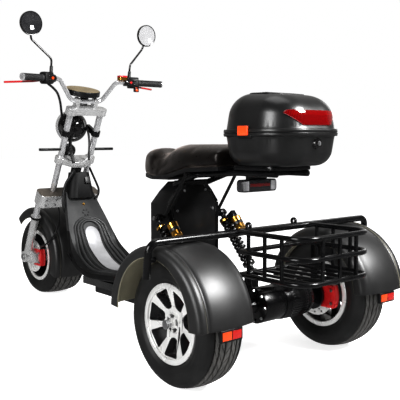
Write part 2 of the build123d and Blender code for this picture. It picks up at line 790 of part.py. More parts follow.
for case_name, facing, height, round_r in case_halves:
    start = case_centre + Vector(0, 0, seat_gap if facing > 0 else 0)
    outer = case_form(start, facing, height, round_r, 0)
    inner = case_form(start, facing, height, round_r, case_wall)
    with BuildPart() as case_half:
        add(outer)
        with BuildSketch(Plane(origin=start, x_dir=(1, 0, 0), z_dir=(0, 0, facing))):
            RectangleRounded(case_l + 2 * band_out, case_w + 2 * band_out,
                             case_corner_r + band_out)
        extrude(amount=band_h)
        add(inner, mode=Mode.SUBTRACT)
    save(case_half, case_name)

with BuildPart() as case_lens:
    add(case_form(case_centre + Vector(0, 0, seat_gap), 1, case_lid_h,
                  lid_round_r, -3))
    with BuildSketch(Plane(origin=rear(case_x - 110, 0, case_split + case_lens_mid), x_dir=(0, 1, 0),
                           z_dir=(-1, 0, 0))):
        RectangleRounded(2 * case_lens_half_w, case_lens_h, 22)
    extrude(amount=120, mode=Mode.INTERSECT)
    add(case_form(case_centre + Vector(0, 0, seat_gap), 1, case_lid_h - seat_gap,
                  lid_round_r, 0), mode=Mode.SUBTRACT)
save(case_lens, "case_lens")

with BuildPart() as case_clasps:
    for side in (1, -1):
        with Locations(Location(rear(case_x, side * (case_w / 2 + band_out + seat_gap + 3),
                                     case_split + 8))):
            Box(52, 6, 34)
save(case_clasps, "case_clasps")

# ------------------------------------------------------------------ rear axle and suspension
disc_mid_y = track / 2 - disc_inset(rear_tyre_w) + disc_t / 2
axle_tube_end = disc_mid_y - caliper_w / 2
motor_y = axle_tube_end - motor_inset
with BuildPart() as axle_housing:
    with Locations(Location(rear_axle)):
        Cylinder(28, 2 * axle_tube_end, rotation=(90, 0, 0))
        Cylinder(68, 110, rotation=(90, 0, 0))
    with Locations(Location(rear_axle + left * (axle_tube_end - 7)),
                   Location(rear_axle - left * (axle_tube_end - 7))):
        Cylinder(62, 14, rotation=(90, 0, 0))
    with Locations(Location(rear_axle - left * motor_y)):
        Cylinder(motor_d / 2 + 2, motor_l + 1, rotation=(90, 0, 0), mode=Mode.SUBTRACT)
    with Locations(Location(rear_axle)):
        Cylinder(axle_d / 2 + pin_gap, 2 * axle_tube_end + 10, rotation=(90, 0, 0),
                 mode=Mode.SUBTRACT)
save(axle_housing, "axle_housing")

with BuildPart() as drive_motor:
    with Locations(Location(rear_axle - left * motor_y)):
        Cylinder(motor_d / 2, motor_l, rotation=(90, 0, 0))
        Cylinder(axle_d / 2 + pin_gap, 160, rotation=(90, 0, 0), mode=Mode.SUBTRACT)
save(drive_motor, "drive_motor")

shaft_inner = 20
shaft_outer = track / 2 + rear_tyre_w / 2 - flange_inset + hub_out + 10
for side_name, side in sides:
    with BuildPart() as half_shaft:
        with Locations(Location(rear_axle + left * side * (shaft_inner + shaft_outer) / 2)):
            Cylinder(axle_d / 2, shaft_outer - shaft_inner, rotation=(90, 0, 0))
        with Locations(Location(rear_axle + left * side * (shaft_outer - 5))):
            Cylinder(axle_d / 2 + 6, 10, rotation=(90, 0, 0))
    save(half_shaft, f"rear_{side_name}_shaft")

shock_run = (shock_low - shock_top).normalized()
shock_length = (shock_low - shock_top).length


def shock_plane(y, down):
    """The plane across a shock at a distance down from its upper eye."""
    return Plane(origin=shock_top + left * y + shock_run * down, x_dir=left, z_dir=shock_run)


with BuildPart() as shocks:
    for y in (-shock_half_w, shock_half_w):
        for centre in (shock_top, shock_low):
            with Locations(Location(centre + left * y)):
                Cylinder(17, 26, rotation=(90, 0, 0))
        with BuildSketch(shock_plane(y, 0)):
            Circle(11)
        extrude(amount=shock_length)
        with BuildSketch(shock_plane(y, 34)):
            Circle(27)
        extrude(amount=18)
        with BuildSketch(shock_plane(y, 262)):
            Circle(27)
        extrude(amount=14)
        with BuildSketch(shock_plane(y, 36)):
            with Locations((0, -36)):
                Rectangle(22, 60)
        extrude(amount=34)
    for y in (-shock_half_w, shock_half_w):
        with Locations(Location(shock_top + left * y)):
            Cylinder(12 + pin_gap, 60, rotation=(90, 0, 0), mode=Mode.SUBTRACT)
save(shocks, "shocks")

with BuildPart() as reservoirs:
    for y in (-shock_half_w, shock_half_w):
        with BuildSketch(shock_plane(y, 70)):
            with Locations((0, -reservoir_out)):
                Circle(reservoir_d / 2)
        extrude(amount=reservoir_l)
save(reservoirs, "reservoirs")

with BuildPart() as springs:
    for y in (-shock_half_w, shock_half_w):
        with BuildSketch(shock_plane(y, 52)):
            Circle(25)
            Circle(11.3, mode=Mode.SUBTRACT)
        extrude(amount=210)
    add(shocks.part, mode=Mode.SUBTRACT)
save(springs, "springs")

arm_bars = [square_bar(rear(345, side * 150, 200), rear(20, side * 150, 240), 30, 44)
            for side in (1, -1)]
with BuildPart() as swing_arms:
    for arm in arm_bars:
        add(arm)
    for side in (1, -1):
        with Locations(Location(rear(345, side * 150, 200))):
            Cylinder(26, 34, rotation=(90, 0, 0))
        with Locations(Location(rear(245, side * 165, 262))):
            Box(46, 40, 60)
    add(axle_housing.part, mode=Mode.SUBTRACT)
    add(main_frame.part, mode=Mode.SUBTRACT)
    add(drive_motor.part, mode=Mode.SUBTRACT)
    add(shocks.part, mode=Mode.SUBTRACT)
    add(springs.part, mode=Mode.SUBTRACT)
save(swing_arms, "swing_arms")

with BuildPart() as reflectors:
    for side in (1, -1):
        with Locations(Location(rear(reflector_x, side * fender_mid_y,
                                     fender_end_up - seat_gap - reflector_h / 2))):
            Box(14, 92, reflector_h)
save(reflectors, "reflectors")

with BuildPart() as rear_calipers:
    for side in (1, -1):
        add(caliper_body(rear_axle, side * disc_mid_y))
save(rear_calipers, "rear_calipers")

# ------------------------------------------------------------------ fenders, hoop and basket
for side_name, side in sides:
    centre = rear(0, side * fender_mid_y, fender_up)
    with BuildPart() as rear_fender:
        with BuildSketch(Plane(origin=centre, x_dir=(0, side, 0),
                               z_dir=(side * sin(radians(fender_start)), 0,
                                      -side * cos(radians(fender_start))))):
            with BuildLine():
                fender_band(fender_w / 2, fender_crown_r, fender_skirt_r, False)
                offset(amount=fender_wall, side=Side.LEFT)
            make_face()
        revolve(axis=Axis(centre, (0, -1, 0)), revolution_arc=fender_sweep)
        with Locations(Location(rear(0, side * (fender_mid_y + fender_w / 2),
                                     fender_up + skirt_arch_up))):
            Cylinder(fender_skirt_r, 3 * fender_wall, rotation=(90, 0, 0), mode=Mode.SUBTRACT)
    save(rear_fender, f"fender_{side_name}")

with BuildPart() as fender_stays:
    for side in (1, -1):
        stay_y = fender_mid_y - fender_w / 2 - 2
        with Locations(Location(rear(0, side * stay_y, 352))):
            Box(34, 4, 210)
        with Locations(Location(rear(0, side * (stay_y + 2 + axle_tube_end) / 2, 268))):
            Box(34, stay_y + 2 - axle_tube_end, 42)
save(fender_stays, "fender_stays")

hoop_foot_up, hoop_peg_up = hoop_up - hoop_drop, hoop_up - hoop_peg_down
hoop_peg_l = hoop_out - hoop_d / 2 + 10
lug_up = hoop_up + hoop_d / 2 + lug_hole_d / 2 + 1
hoop_body = bar([rear(hoop_x + 16, -hoop_half_w, hoop_foot_up), rear(hoop_x, -hoop_half_w, hoop_up),
                 rear(hoop_x, hoop_half_w, hoop_up), rear(hoop_x + 16, hoop_half_w, hoop_foot_up)],
                hoop_d / 2, [34, 34])
with BuildPart() as fender_hoop:
    add(hoop_body)
    for y in (-lug_half_w, lug_half_w):
        with Locations(Location(rear(hoop_x, y, lug_up))):
            Cylinder(lug_d / 2, lug_t, rotation=(90, 0, 0))
            Cylinder(lug_hole_d / 2, lug_t, rotation=(90, 0, 0), mode=Mode.SUBTRACT)
    for side in (1, -1):
        with Locations(Location(rear(hoop_x + 8, side * (fender_mid_y + fender_w / 2
                                                         + hoop_peg_l / 2), hoop_peg_up))):
            Cylinder(9, hoop_peg_l, rotation=(90, 0, 0))
save(fender_hoop, "fender_hoop")

rail_bars = []
for up in basket_rails:
    back = -basket_reach + basket_rail_d / 2
    rail_bars.append(bar([rear(basket_front, basket_half_w, up), rear(back, basket_half_w, up),
                          rear(back, -basket_half_w, up), rear(basket_front, -basket_half_w, up)],
                         basket_rail_d / 2, basket_corner_r))
front_bars = [bar([rear(basket_front, -basket_half_w, up), rear(basket_front, basket_half_w, up)],
                  basket_rail_d / 2) for up in basket_rails]
with BuildPart() as basket:
    for rail in rail_bars + front_bars:
        add(rail)
    height = basket_rails[0] - basket_rails[2]
    back = -basket_reach + basket_rail_d / 2
    for x, y in [(back, -88), (back, 0), (back, 88)] + [
            (x, s * basket_half_w) for x in (-100, -180, -260) for s in (-1, 1)]:
        with BuildSketch(Plane(origin=rear(x, y, basket_rails[2]), z_dir=(0, 0, 1))):
            Rectangle(basket_bar_d, basket_bar_d)
        extrude(amount=height)
    for y in (-120, -60, 0, 60, 120):
        with Locations(Location(rear((back + basket_front) / 2, y, basket_rails[2]))):
            Box(basket_front - back, basket_bar_d, basket_bar_d)
save(basket, "basket")

brace_bars = [square_bar(rear(-270, side * 150, 352), rear(-30, side * 60, 292), 10, 22)
              for side in (1, -1)]
with BuildPart() as basket_braces:
    for brace in brace_bars:
        add(brace)
    add(basket.part, mode=Mode.SUBTRACT)
    add(axle_housing.part, mode=Mode.SUBTRACT)
    add(drive_motor.part, mode=Mode.SUBTRACT)
save(basket_braces, "basket_braces")

# ------------------------------------------------------------------ cables
left_conduit = [rear(1253, 236, 1131), rear(1270, 204, 1117), rear(1299, 161, 1094),
                rear(1326, 132, 1048), rear(1358, 110, 997), rear(1386, 90, 965),
                rear(1401, 58, 948)]
right_loom = [rear(1398, -57, 935), rear(1382, -61, 893), rear(1367, -57, 845),
              rear(1357, -48, 798), rear(1351, -41, 752)]
left_loom = [rear(1412, 30, 868), rear(1394, 44, 832), rear(1371, 50, 790), rear(1353, 48, 738)]
with BuildPart() as steering_cables:
    for cable in (cord(left_conduit, cable_d), cord(right_loom, cable_d),
                  cord(left_loom, bundle_d)):
        add(cable)
    for neighbour in (headlamp, switch_pods, brake_levers, lower_yoke):
        add(neighbour.part, mode=Mode.SUBTRACT)
save(steering_cables, "steering_cables")

right_lead = [rear(1346, -42, 712), rear(1352, -59, 684), rear(1351, -80, 640),
              rear(1345, -96, 598), rear(1346, -93, 566), rear(1357, -78, 547)]
left_bundle = [rear(1349, 46, 700), rear(1359, 62, 672), rear(1374, 84, 634),
               rear(1377, 98, 585), rear(1370, 106, 532), rear(1362, 98, 478),
               rear(1368, 20, 432)]
with BuildPart() as neck_cables:
    for cable in (cord(right_lead, cable_d), cord(left_bundle, bundle_d)):
        add(cable)
    for neighbour in (neck_cowl, foot_deck, main_frame):
        add(neighbour.part, mode=Mode.SUBTRACT)
save(neck_cables, "neck_cables")

brake_line = [fork(-40, 60, bridge_low), rear(1474, 70, 460), rear(1447, 92, 406),
              rear(1444, 122, 356), rear(1484, 139, 314), rear(1540, 138, 290),
              rear(1590, 127, 282), rear(1614, 115, 262)]
with BuildPart() as front_brake_hose:
    add(cord(brake_line, hose_d))
    for neighbour in (front_caliper, fork_legs, fork_bridge):
        add(neighbour.part, mode=Mode.SUBTRACT)
save(front_brake_hose, "front_brake_hose")

print("parts written")
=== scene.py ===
"""The looks of a motorized trike: finishes, tyres, rims, seat and trim around its frame.

Lengths are metres, +X forward, +Y left, +Z up. rear(...) takes millimetres forward from the rear
axle and up from the ground, fork(...) millimetres from the front axle in the fork's own directions.
"""

import json
import math
from contextlib import contextmanager

import bmesh
import bpy
from mathutils import Matrix, Vector


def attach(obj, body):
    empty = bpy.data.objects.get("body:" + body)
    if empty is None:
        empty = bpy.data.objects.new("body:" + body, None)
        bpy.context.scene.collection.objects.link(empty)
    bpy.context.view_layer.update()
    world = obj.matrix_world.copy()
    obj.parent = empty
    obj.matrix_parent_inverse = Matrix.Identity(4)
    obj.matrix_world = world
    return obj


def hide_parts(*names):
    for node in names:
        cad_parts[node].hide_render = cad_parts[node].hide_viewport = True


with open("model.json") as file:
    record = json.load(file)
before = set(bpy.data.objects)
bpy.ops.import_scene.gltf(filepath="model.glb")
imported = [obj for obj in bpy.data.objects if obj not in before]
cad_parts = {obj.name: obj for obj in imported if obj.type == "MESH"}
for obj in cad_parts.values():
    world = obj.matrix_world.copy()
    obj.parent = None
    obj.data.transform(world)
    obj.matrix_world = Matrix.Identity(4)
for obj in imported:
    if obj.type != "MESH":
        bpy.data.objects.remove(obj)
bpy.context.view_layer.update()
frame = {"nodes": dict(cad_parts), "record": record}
done = set()

# ------------------------------------------------------------------ where things are
MM = 0.001
X, Y, Z = Vector((1, 0, 0)), Vector((0, 1, 0)), Vector((0, 0, 1))
SIDES = (("left", 1), ("right", -1))
REAR_AXLE = Vector((-0.7745, 0.0, 0.228))
FRONT_AXLE = Vector((0.9255, 0.0, 0.217))
REAR_WHEEL_Y = 0.387
RAKE = math.radians(27)  # of the fork, back from upright
FORK_UP = Vector((-math.sin(RAKE), 0, math.cos(RAKE)))
FORK_AHEAD = Vector((math.cos(RAKE), 0, math.sin(RAKE)))


def rear(x, y, z):
    """A point in millimetres forward from the rear axle and up from the ground."""
    return Vector((REAR_AXLE.x + x * MM, y * MM, z * MM))


def fork(ahead, y, up):
    """A point in millimetres in the fork's leaning frame."""
    return FRONT_AXLE + (FORK_AHEAD * ahead + Y * y + FORK_UP * up) * MM


def ramp(value, start, length):
    """0 up to start, then rising evenly to 1 over a length."""
    return min(1.0, max(0.0, (value - start) / length))


# ------------------------------------------------------------------ finishes
def add_node(tree, kind, *by_number, settings=None, **by_name):
    """A new node, its inputs by number or by name linked to a socket or set to a value."""
    made = tree.nodes.new(kind)
    for key, setting in (settings or {}).items():
        setattr(made, key, setting)
    given = list(enumerate(by_number)) + [(k.replace("_", " "), v) for k, v in by_name.items()]
    for key, value in given:
        if isinstance(value, bpy.types.NodeSocket):
            tree.links.new(value, made.inputs[key])
        else:
            made.inputs[key].default_value = value
    return made


def shader(name, **values):
    """A new material, its node tree, its shader with values set and the object's coordinates."""
    material = bpy.data.materials.new(name)
    material.use_nodes = True
    tree = material.node_tree
    bsdf = tree.nodes["Principled BSDF"]
    for key, value in values.items():
        bsdf.inputs[key.replace("_", " ")].default_value = value
    return material, tree, bsdf, tree.nodes.new("ShaderNodeTexCoord").outputs["Object"]


def noise(tree, place, scale, detail=3.0, stretch=None):
    """A noise pattern of that many cells a metre."""
    if stretch:
        place = add_node(tree, "ShaderNodeMapping", Vector=place, Scale=stretch).outputs["Vector"]
    pattern = add_node(tree, "ShaderNodeTexNoise", Vector=place, Scale=scale, Detail=detail)
    return pattern.outputs["Fac"]


def spread(tree, value, low, high):
    """Maps a pattern's middle range to low..high."""
    return add_node(tree, "ShaderNodeMapRange", Value=value, From_Min=0.3, From_Max=0.7,
                    To_Min=low, To_Max=high).outputs["Result"]


def two_tone(tree, value, first, second):
    """Mixes two colours by a pattern."""
    mix = add_node(tree, "ShaderNodeValToRGB", Fac=value)
    for end, position, colour in zip(mix.color_ramp.elements, (0.35, 0.65), (first, second)):
        end.position = position
        end.color = (*colour, 1)
    return mix.outputs["Color"]


def bump(tree, bsdf, height, strength, distance):
    """Raises a pattern as relief, on top of any relief before it."""
    relief = add_node(tree, "ShaderNodeBump", Height=height, Strength=strength, Distance=distance)
    last = bsdf.inputs["Normal"].links
    if last:
        tree.links.new(last[0].from_socket, relief.inputs["Normal"])
    tree.links.new(relief.outputs["Normal"], bsdf.inputs["Normal"])


DRIFT_CELLS, GLOSS_CELLS = 18, 14.4  # a metre, of every finish's slow changes


def finish(name, colour, second, rough, metal=0.0, coat=0.0, grain=None, stretch=None,
           specular=0.5):
    """A finish with a slight drift of colour and of gloss, and a fine relief.

    rough is (low, high); grain is (cells a metre, strength, depth in metres).
    """
    material, tree, bsdf, place = shader(name, Metallic=metal, Specular_IOR_Level=specular,
                                         Coat_Weight=coat, Coat_Roughness=0.06)
    drift = noise(tree, place, DRIFT_CELLS)
    gloss = noise(tree, place, GLOSS_CELLS, 1, stretch)
    tree.links.new(two_tone(tree, drift, colour, second), bsdf.inputs["Base Color"])
    tree.links.new(spread(tree, gloss, *rough), bsdf.inputs["Roughness"])
    if grain:
        cells, strength, depth = grain
        bump(tree, bsdf, noise(tree, place, cells, 2, stretch), strength, depth)
    return material


def leather(name):
    """Leatherette: small pebbles in creases, with a brown sheen."""
    material, tree, bsdf, place = shader(
        name, Sheen_Weight=0.3, Sheen_Roughness=0.3, Sheen_Tint=(0.95, 0.8, 0.72, 1),
        Specular_IOR_Level=0.35, Specular_Tint=(1.0, 0.93, 0.9, 1))
    colour = two_tone(tree, noise(tree, place, 9), (0.0018, 0.0014, 0.0012),
                      (0.004, 0.0028, 0.0023))
    tree.links.new(colour, bsdf.inputs["Base Color"])
    tree.links.new(spread(tree, noise(tree, place, 40), 0.27, 0.36), bsdf.inputs["Roughness"])
    pebbles = add_node(tree, "ShaderNodeTexVoronoi", Vector=place, Scale=620)
    bump(tree, bsdf, pebbles.outputs["Distance"], 0.28, 0.0006)
    bump(tree, bsdf, noise(tree, place, 60, 3), 0.12, 0.002)
    return material


def lens(name, colour):
    """A clear moulded lens with prisms behind its face."""
    material, tree, bsdf, place = shader(name, Roughness=0.09, Coat_Weight=1.0,
                                         Coat_Roughness=0.03, Emission_Color=(*colour, 1))
    prisms = add_node(tree, "ShaderNodeTexWave", Vector=place, Scale=60,
                      settings={"bands_direction": "Y"})
    dark = [c * 0.55 for c in colour]
    tree.links.new(two_tone(tree, prisms.outputs["Fac"], dark, colour), bsdf.inputs["Base Color"])
    return material


FINISH = {
    "black_steel": finish("black_powder_coat", (0.0022, 0.0022, 0.0025), (0.004, 0.004, 0.0043),
                          (0.16, 0.26), coat=0.1, specular=0.36, grain=(500, 0.05, 0.0003)),
    "satin_body": finish("case_plastic", (0.0055, 0.0055, 0.0056), (0.0075, 0.0075, 0.0077),
                         (0.29, 0.35), specular=0.7, grain=(1500, 0.06, 0.0001)),
    "deck_grey": finish("deck_plastic", (0.021, 0.0215, 0.022), (0.028, 0.0285, 0.029),
                        (0.34, 0.44), grain=(1200, 0.1, 0.0003)),
    "tread_plate": finish("tread_plate_metal", (0.36, 0.36, 0.37), (0.46, 0.46, 0.47),
                          (0.4, 0.55), metal=0.45, grain=(420, 0.35, 0.0006)),
    "fender_satin": finish("fender_paint", (0.007, 0.007, 0.0071), (0.0095, 0.0095, 0.0096),
                           (0.4, 0.45), specular=0.72, grain=(1600, 0.06, 0.0001)),
    "fender_inside": finish("fender_inside", (0.15, 0.14, 0.095), (0.19, 0.175, 0.12),
                            (0.5, 0.7), grain=(500, 0.2, 0.0004)),
    "tyre_rubber": finish("tyre_rubber", (0.0065, 0.0065, 0.0067), (0.011, 0.011, 0.011),
                          (0.46, 0.6), specular=0.35, grain=(700, 0.2, 0.0005)),
    "tread_rubber": finish("tread_rubber", (0.045, 0.044, 0.042), (0.06, 0.058, 0.055),
                           (0.42, 0.55), grain=(700, 0.2, 0.0005)),
    "machined_aluminium": finish("machined_aluminium", (0.78, 0.78, 0.77), (0.88, 0.88, 0.87),
                                 (0.2, 0.3), metal=0.55),
    "rim_pocket": finish("rim_pocket_paint", (0.01, 0.01, 0.011), (0.018, 0.018, 0.019),
                         (0.25, 0.4), coat=0.3, grain=(800, 0.1, 0.0003)),
    "cast_aluminium": finish("cast_aluminium", (0.68, 0.68, 0.68), (0.8, 0.8, 0.8),
                             (0.13, 0.21), metal=0.75),
    "chrome": finish("chrome_plate", (0.84, 0.84, 0.86), (0.9, 0.9, 0.91), (0.04, 0.07),
                     metal=0.8),
    # the fork bridge's top, painted a darker brown-grey as painted shade
    "bridge_top": finish("bridge_top_paint", (0.1, 0.085, 0.07), (0.14, 0.12, 0.1),
                         (0.4, 0.55), metal=0.4, grain=(500, 0.2, 0.0004)),
    "dash_tan": finish("dash_tan", (0.2, 0.155, 0.085), (0.27, 0.21, 0.12), (0.4, 0.55),
                       grain=(500, 0.2, 0.0004)),
    "grip_rubber": finish("grip_rubber", (0.012, 0.012, 0.013), (0.02, 0.02, 0.021),
                          (0.5, 0.65), grain=(900, 0.2, 0.0004)),
    "seat_leather": leather("seat_leather"),
    "black_plastic": finish("black_plastic", (0.004, 0.004, 0.0043), (0.007, 0.007, 0.0073),
                            (0.28, 0.42), specular=0.3, grain=(1100, 0.1, 0.0003)),
    # matte black for the neck cowl, and painted shade in the tyre grooves, deck grooves and along
    # the deck's sides
    "matte_black": finish("matte_black", (0.0025, 0.0025, 0.0027), (0.004, 0.004, 0.0042),
                          (0.5, 0.6), specular=0.22, grain=(900, 0.1, 0.0003)),
    "shell_black": finish("shell_black", (0.006, 0.006, 0.0065), (0.01, 0.0095, 0.0095),
                          (0.08, 0.14), metal=0.3, coat=0.6, grain=(300, 0.02, 0.0001)),
    "red_paint": finish("red_caliper_paint", (0.5, 0.008, 0.012), (0.62, 0.02, 0.02),
                        (0.2, 0.3), metal=0.35, coat=0.4, grain=(600, 0.08, 0.0003)),
    "lever_red": finish("lever_red", (0.15, 0.012, 0.014), (0.22, 0.02, 0.02), (0.2, 0.3),
                        metal=0.6, grain=(400, 0.02, 0.0001)),
    "gold_anodised": finish("gold_anodised", (0.83, 0.4, 0.06), (0.9, 0.5, 0.12),
                            (0.16, 0.26), metal=1.0, grain=(500, 0.04, 0.0002)),
    "orange_plastic": finish("orange_plastic", (0.8, 0.055, 0.004), (0.88, 0.075, 0.006),
                             (0.25, 0.35), coat=0.1, grain=(900, 0.05, 0.0002)),
    "stainless": finish("brushed_stainless", (0.5, 0.5, 0.51), (0.6, 0.6, 0.61), (0.26, 0.42),
                        metal=1.0, grain=(700, 0.08, 0.0002), stretch=(1, 8, 1)),
    # mirror glass: a pale, mostly diffuse grey that is partly a painted reflection of the bright
    # room; its dark copy below is a painted reflection of the dark side
    "mirror_glass": finish("mirror_glass", (0.33, 0.33, 0.335), (0.37, 0.37, 0.375),
                           (0.03, 0.06), metal=0.1),
    "shaded_glass": finish("shaded_glass", (0.02, 0.02, 0.022), (0.03, 0.03, 0.032),
                           (0.05, 0.1), metal=0.2, coat=0.6),
    "red_lens": lens("red_lens", (0.15, 0.0008, 0.0015)),
    "bright_red_lens": lens("bright_red_lens", (0.19, 0.001, 0.0015)),
    "lens_rim": lens("lens_rim", (0.5, 0.12, 0.13)),
    "lamp_lens": lens("clear_lens", (0.7, 0.7, 0.72)),
    "smoky_lens": lens("smoky_lens", (0.018, 0.018, 0.02)),
    "orange_lens": lens("orange_lens", (0.62, 0.06, 0.008)),
    "reflector_red": lens("reflector_red", (0.4, 0.012, 0.01)),
}


# ------------------------------------------------------------------ meshes
@contextmanager
def worked(mesh):
    """A mesh's corners, edges and faces, open to be edited and then put back."""
    work = bmesh.new()
    work.from_mesh(mesh)
    yield work
    work.to_mesh(mesh)
    work.free()


def clean(work, nearer_than):
    """Joins corners that meet and points every face outwards."""
    bmesh.ops.remove_doubles(work, verts=work.verts, dist=nearer_than)
    bmesh.ops.recalc_face_normals(work, faces=work.faces)


def cut_through(work, place, way, **options):
    """Cuts edges and faces where a plane at a place, square to a way, crosses them."""
    return bmesh.ops.bisect_plane(work, geom=work.verts[:] + work.edges[:] + work.faces[:],
                                  plane_co=place, plane_no=way, **options)


def joined(name, meshes):
    """Several meshes made one."""
    whole = bpy.data.meshes.new(name)
    with worked(whole) as work:
        for mesh in meshes:
            work.from_mesh(mesh)
    return whole


def placed(mesh, matrix):
    """The mesh moved by a matrix."""
    mesh.transform(matrix)
    return mesh


def reshaped(mesh, rule):
    """The mesh with each corner moved to where rule(place) puts it."""
    for vertex in mesh.vertices:
        vertex.co = rule(vertex.co)
    return mesh


def at(place):
    """The matrix that moves a shape to a place."""
    return Matrix.Translation(place)


def axes(x_axis, y_axis, z_axis):
    """The matrix that turns a shape's own axes to these."""
    return Matrix((x_axis, y_axis, z_axis)).transposed().to_4x4()


def facing(place, ahead, up=None):
    """The matrix that sets a shape's +Z along a direction at a place, its +Y nearest to up."""
    z_axis = ahead.normalized()
    guide = up or (Z if abs(z_axis.z) < 0.9 else X)
    x_axis = guide.cross(z_axis).normalized()
    return at(place) @ axes(x_axis, z_axis.cross(x_axis), z_axis)


def lathe(name, profile, place, axis, steps=96):
    """A turned shape: profile points (radius, along the axis) in metres, open at both ends."""
    mesh = bpy.data.meshes.new(name)
    turns = [2 * math.pi * k / steps for k in range(steps)]
    with worked(mesh) as work:
        rings = [[work.verts.new((radius * math.cos(a), radius * math.sin(a), along))
                  for a in turns] for radius, along in profile]
        for low, high in zip(rings, rings[1:]):
            for k in range(steps):
                after = (k + 1) % steps
                work.faces.new((low[k], low[after], high[after], high[k]))
        clean(work, 2e-6)
    return placed(mesh, facing(place, axis))


def arc(centre, radius, start, end, steps):
    """Points of an arc in a flat outline, angles in degrees."""
    angles = [math.radians(start + (end - start) * k / steps) for k in range(steps + 1)]
    return [(centre[0] + radius * math.cos(a), centre[1] + radius * math.sin(a)) for a in angles]


def circle(radius, steps=72, centre=(0, 0)):
    """Points of a circle."""
    return arc(centre, radius, 0, 360 * (steps - 1) / steps, steps - 1)


def curve_of(name, kind, outlines, spline_kind):
    """A new curve with a spline through each outline's points."""
    curve = bpy.data.curves.new(name, "CURVE")
    curve.dimensions = kind
    for outline in outlines:
        spline = curve.splines.new(spline_kind)
        spline.points.add(len(outline) - 1)
        for point, place in zip(spline.points, outline):
            point.co = (*Vector(place).to_3d(), 1)
    return curve


def mesh_of(curve):
    """A curve made a mesh."""
    holder = bpy.data.objects.new(curve.name, curve)
    mesh = bpy.data.meshes.new_from_object(holder)
    bpy.data.objects.remove(holder)
    return mesh


def plate(name, outlines, thick, matrix, edge=0.0):
    """A flat plate: the first outline is its rim and the others are holes through it."""
    curve = curve_of(name, "2D", outlines, "POLY")
    curve.fill_mode = "BOTH"
    curve.extrude = thick / 2 - edge
    curve.bevel_depth = edge
    curve.offset = -edge
    curve.bevel_resolution = 1
    for spline in curve.splines:
        spline.use_cyclic_u = True
    mesh = mesh_of(curve)
    with worked(mesh) as work:
        clean(work, 1e-6)
    return placed(mesh, matrix)


def tube(name, points, radius, smooth=True, sides=10):
    """A round tube along points, either on a smooth line that they lead or straight."""
    curve = curve_of(name, "3D", [points], "NURBS" if smooth else "POLY")
    curve.bevel_depth = radius
    curve.bevel_resolution = sides // 4 - 1
    curve.use_fill_caps = True
    if smooth:
        spline = curve.splines[0]
        spline.order_u = 3
        spline.use_endpoint_u = True
        spline.resolution_u = 6
    return mesh_of(curve)


def rounded_box(name, size, matrix, edge=0.002, segments=2):
    """A block with rounded edges, centred on the matrix's place."""
    mesh = bpy.data.meshes.new(name)
    with worked(mesh) as work:
        bmesh.ops.create_cube(work, size=1.0)
        bmesh.ops.scale(work, vec=size, verts=work.verts)
        bmesh.ops.bevel(work, geom=work.edges, offset=min(edge, 0.48 * min(size)),
                        segments=segments, affect="EDGES", profile=0.5)
    return placed(mesh, matrix)


# ------------------------------------------------------------------ pieces
def evaluated_mesh(holder):
    """The mesh that an object's modifiers make."""
    bpy.context.view_layer.update()
    ready = holder.evaluated_get(bpy.context.evaluated_depsgraph_get())
    return bpy.data.meshes.new_from_object(ready)


def applied(piece):
    """The piece with its modifiers made part of its mesh."""
    mesh = evaluated_mesh(piece)
    piece.modifiers.clear()
    piece.data = mesh
    return piece


def shade(mesh, angle=38):
    """Smooth shading, broken where faces meet at more than that angle."""
    mesh.polygons.foreach_set("use_smooth", [True] * len(mesh.polygons))
    mesh.set_sharp_from_angle(angle=math.radians(angle))


def bevelled(piece, width, segments=2, angle=35):
    """Rounds the piece's sharp edges."""
    bevel = piece.modifiers.new("bevel", "BEVEL")
    bevel.width = width
    bevel.segments = segments
    bevel.limit_method = "ANGLE"
    bevel.angle_limit = math.radians(angle)
    return applied(piece)


def body_of(node):
    """The body that a CAD node moves with."""
    bodies = frame["record"]["behaviour"]["bodies"]
    return next(body for body, members in bodies.items() if node in members)


def slot_of(node):
    """The finish that the record gives a node."""
    entries = frame["record"]["subparts"]
    return next(entry["material_slot"] for entry in entries if entry["node"] == node)


SAME_SPOT, FLAT = 1e-6, math.radians(0.6)  # how near corners and how flat faces are joined


def solid_copy(node):
    """A CAD node's mesh with its triangles joined into clean faces."""
    mesh = frame["nodes"][node].data.copy()
    with worked(mesh) as work:
        bmesh.ops.remove_doubles(work, verts=work.verts, dist=SAME_SPOT)
        bmesh.ops.dissolve_limit(work, angle_limit=FLAT, verts=work.verts, edges=work.edges)
    mesh.name = node
    return mesh


def linked(name, mesh, slot, material=None):
    """A new object of that mesh with one finish."""
    piece = bpy.data.objects.new(name, mesh)
    bpy.context.scene.collection.objects.link(piece)
    mesh.materials.clear()
    mesh.materials.append(material or FINISH[slot])
    return piece


def replacing(piece, node):
    """A piece shown instead of a CAD node, on its body."""
    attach(piece, body_of(node))
    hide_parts(node)
    done.add(node)
    return piece


def added(name, mesh, slot, body, material=None, angle=38):
    """A piece of trim on a body."""
    piece = linked(name, mesh, slot, material)
    shade(piece.data, angle)
    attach(piece, body)
    return piece


def made_anew(node, mesh, angle=38):
    """A piece of its own mesh shown instead of a CAD node, in the node's finish."""
    piece = linked(node + "_dressed", mesh, slot_of(node))
    shade(piece.data, angle)
    return replacing(piece, node)


def dressed(node, edge=0.0015, material=None, angle=35, segments=2, ending="_finished", split=(),
            shaded=38):
    """A CAD node shown with rounded edges and its finish, cut first by any planes in split."""
    piece = linked(node + ending, solid_copy(node), slot_of(node), material)
    if split:
        with worked(piece.data) as work:
            for place, way in split:
                cut_through(work, place, way)
    bevelled(piece, edge, segments, angle)
    shade(piece.data, shaded)
    return replacing(piece, node)


def painted(piece, choose, finishes):
    """Gives each face the finish that choose(face) numbers, 0 being the piece's own."""
    for name in finishes:
        piece.data.materials.append(FINISH[name])
    for face in piece.data.polygons:
        face.material_index = choose(face)
    return piece


def region_dressed(node, choose, finishes, edge=0.0015, **options):
    """A CAD node with rounded edges, its faces painted by choose(face centre, normal)."""
    piece = dressed(node, edge, ending="_dressed", **options)
    return painted(piece, lambda face: choose(face.center, face.normal), finishes)


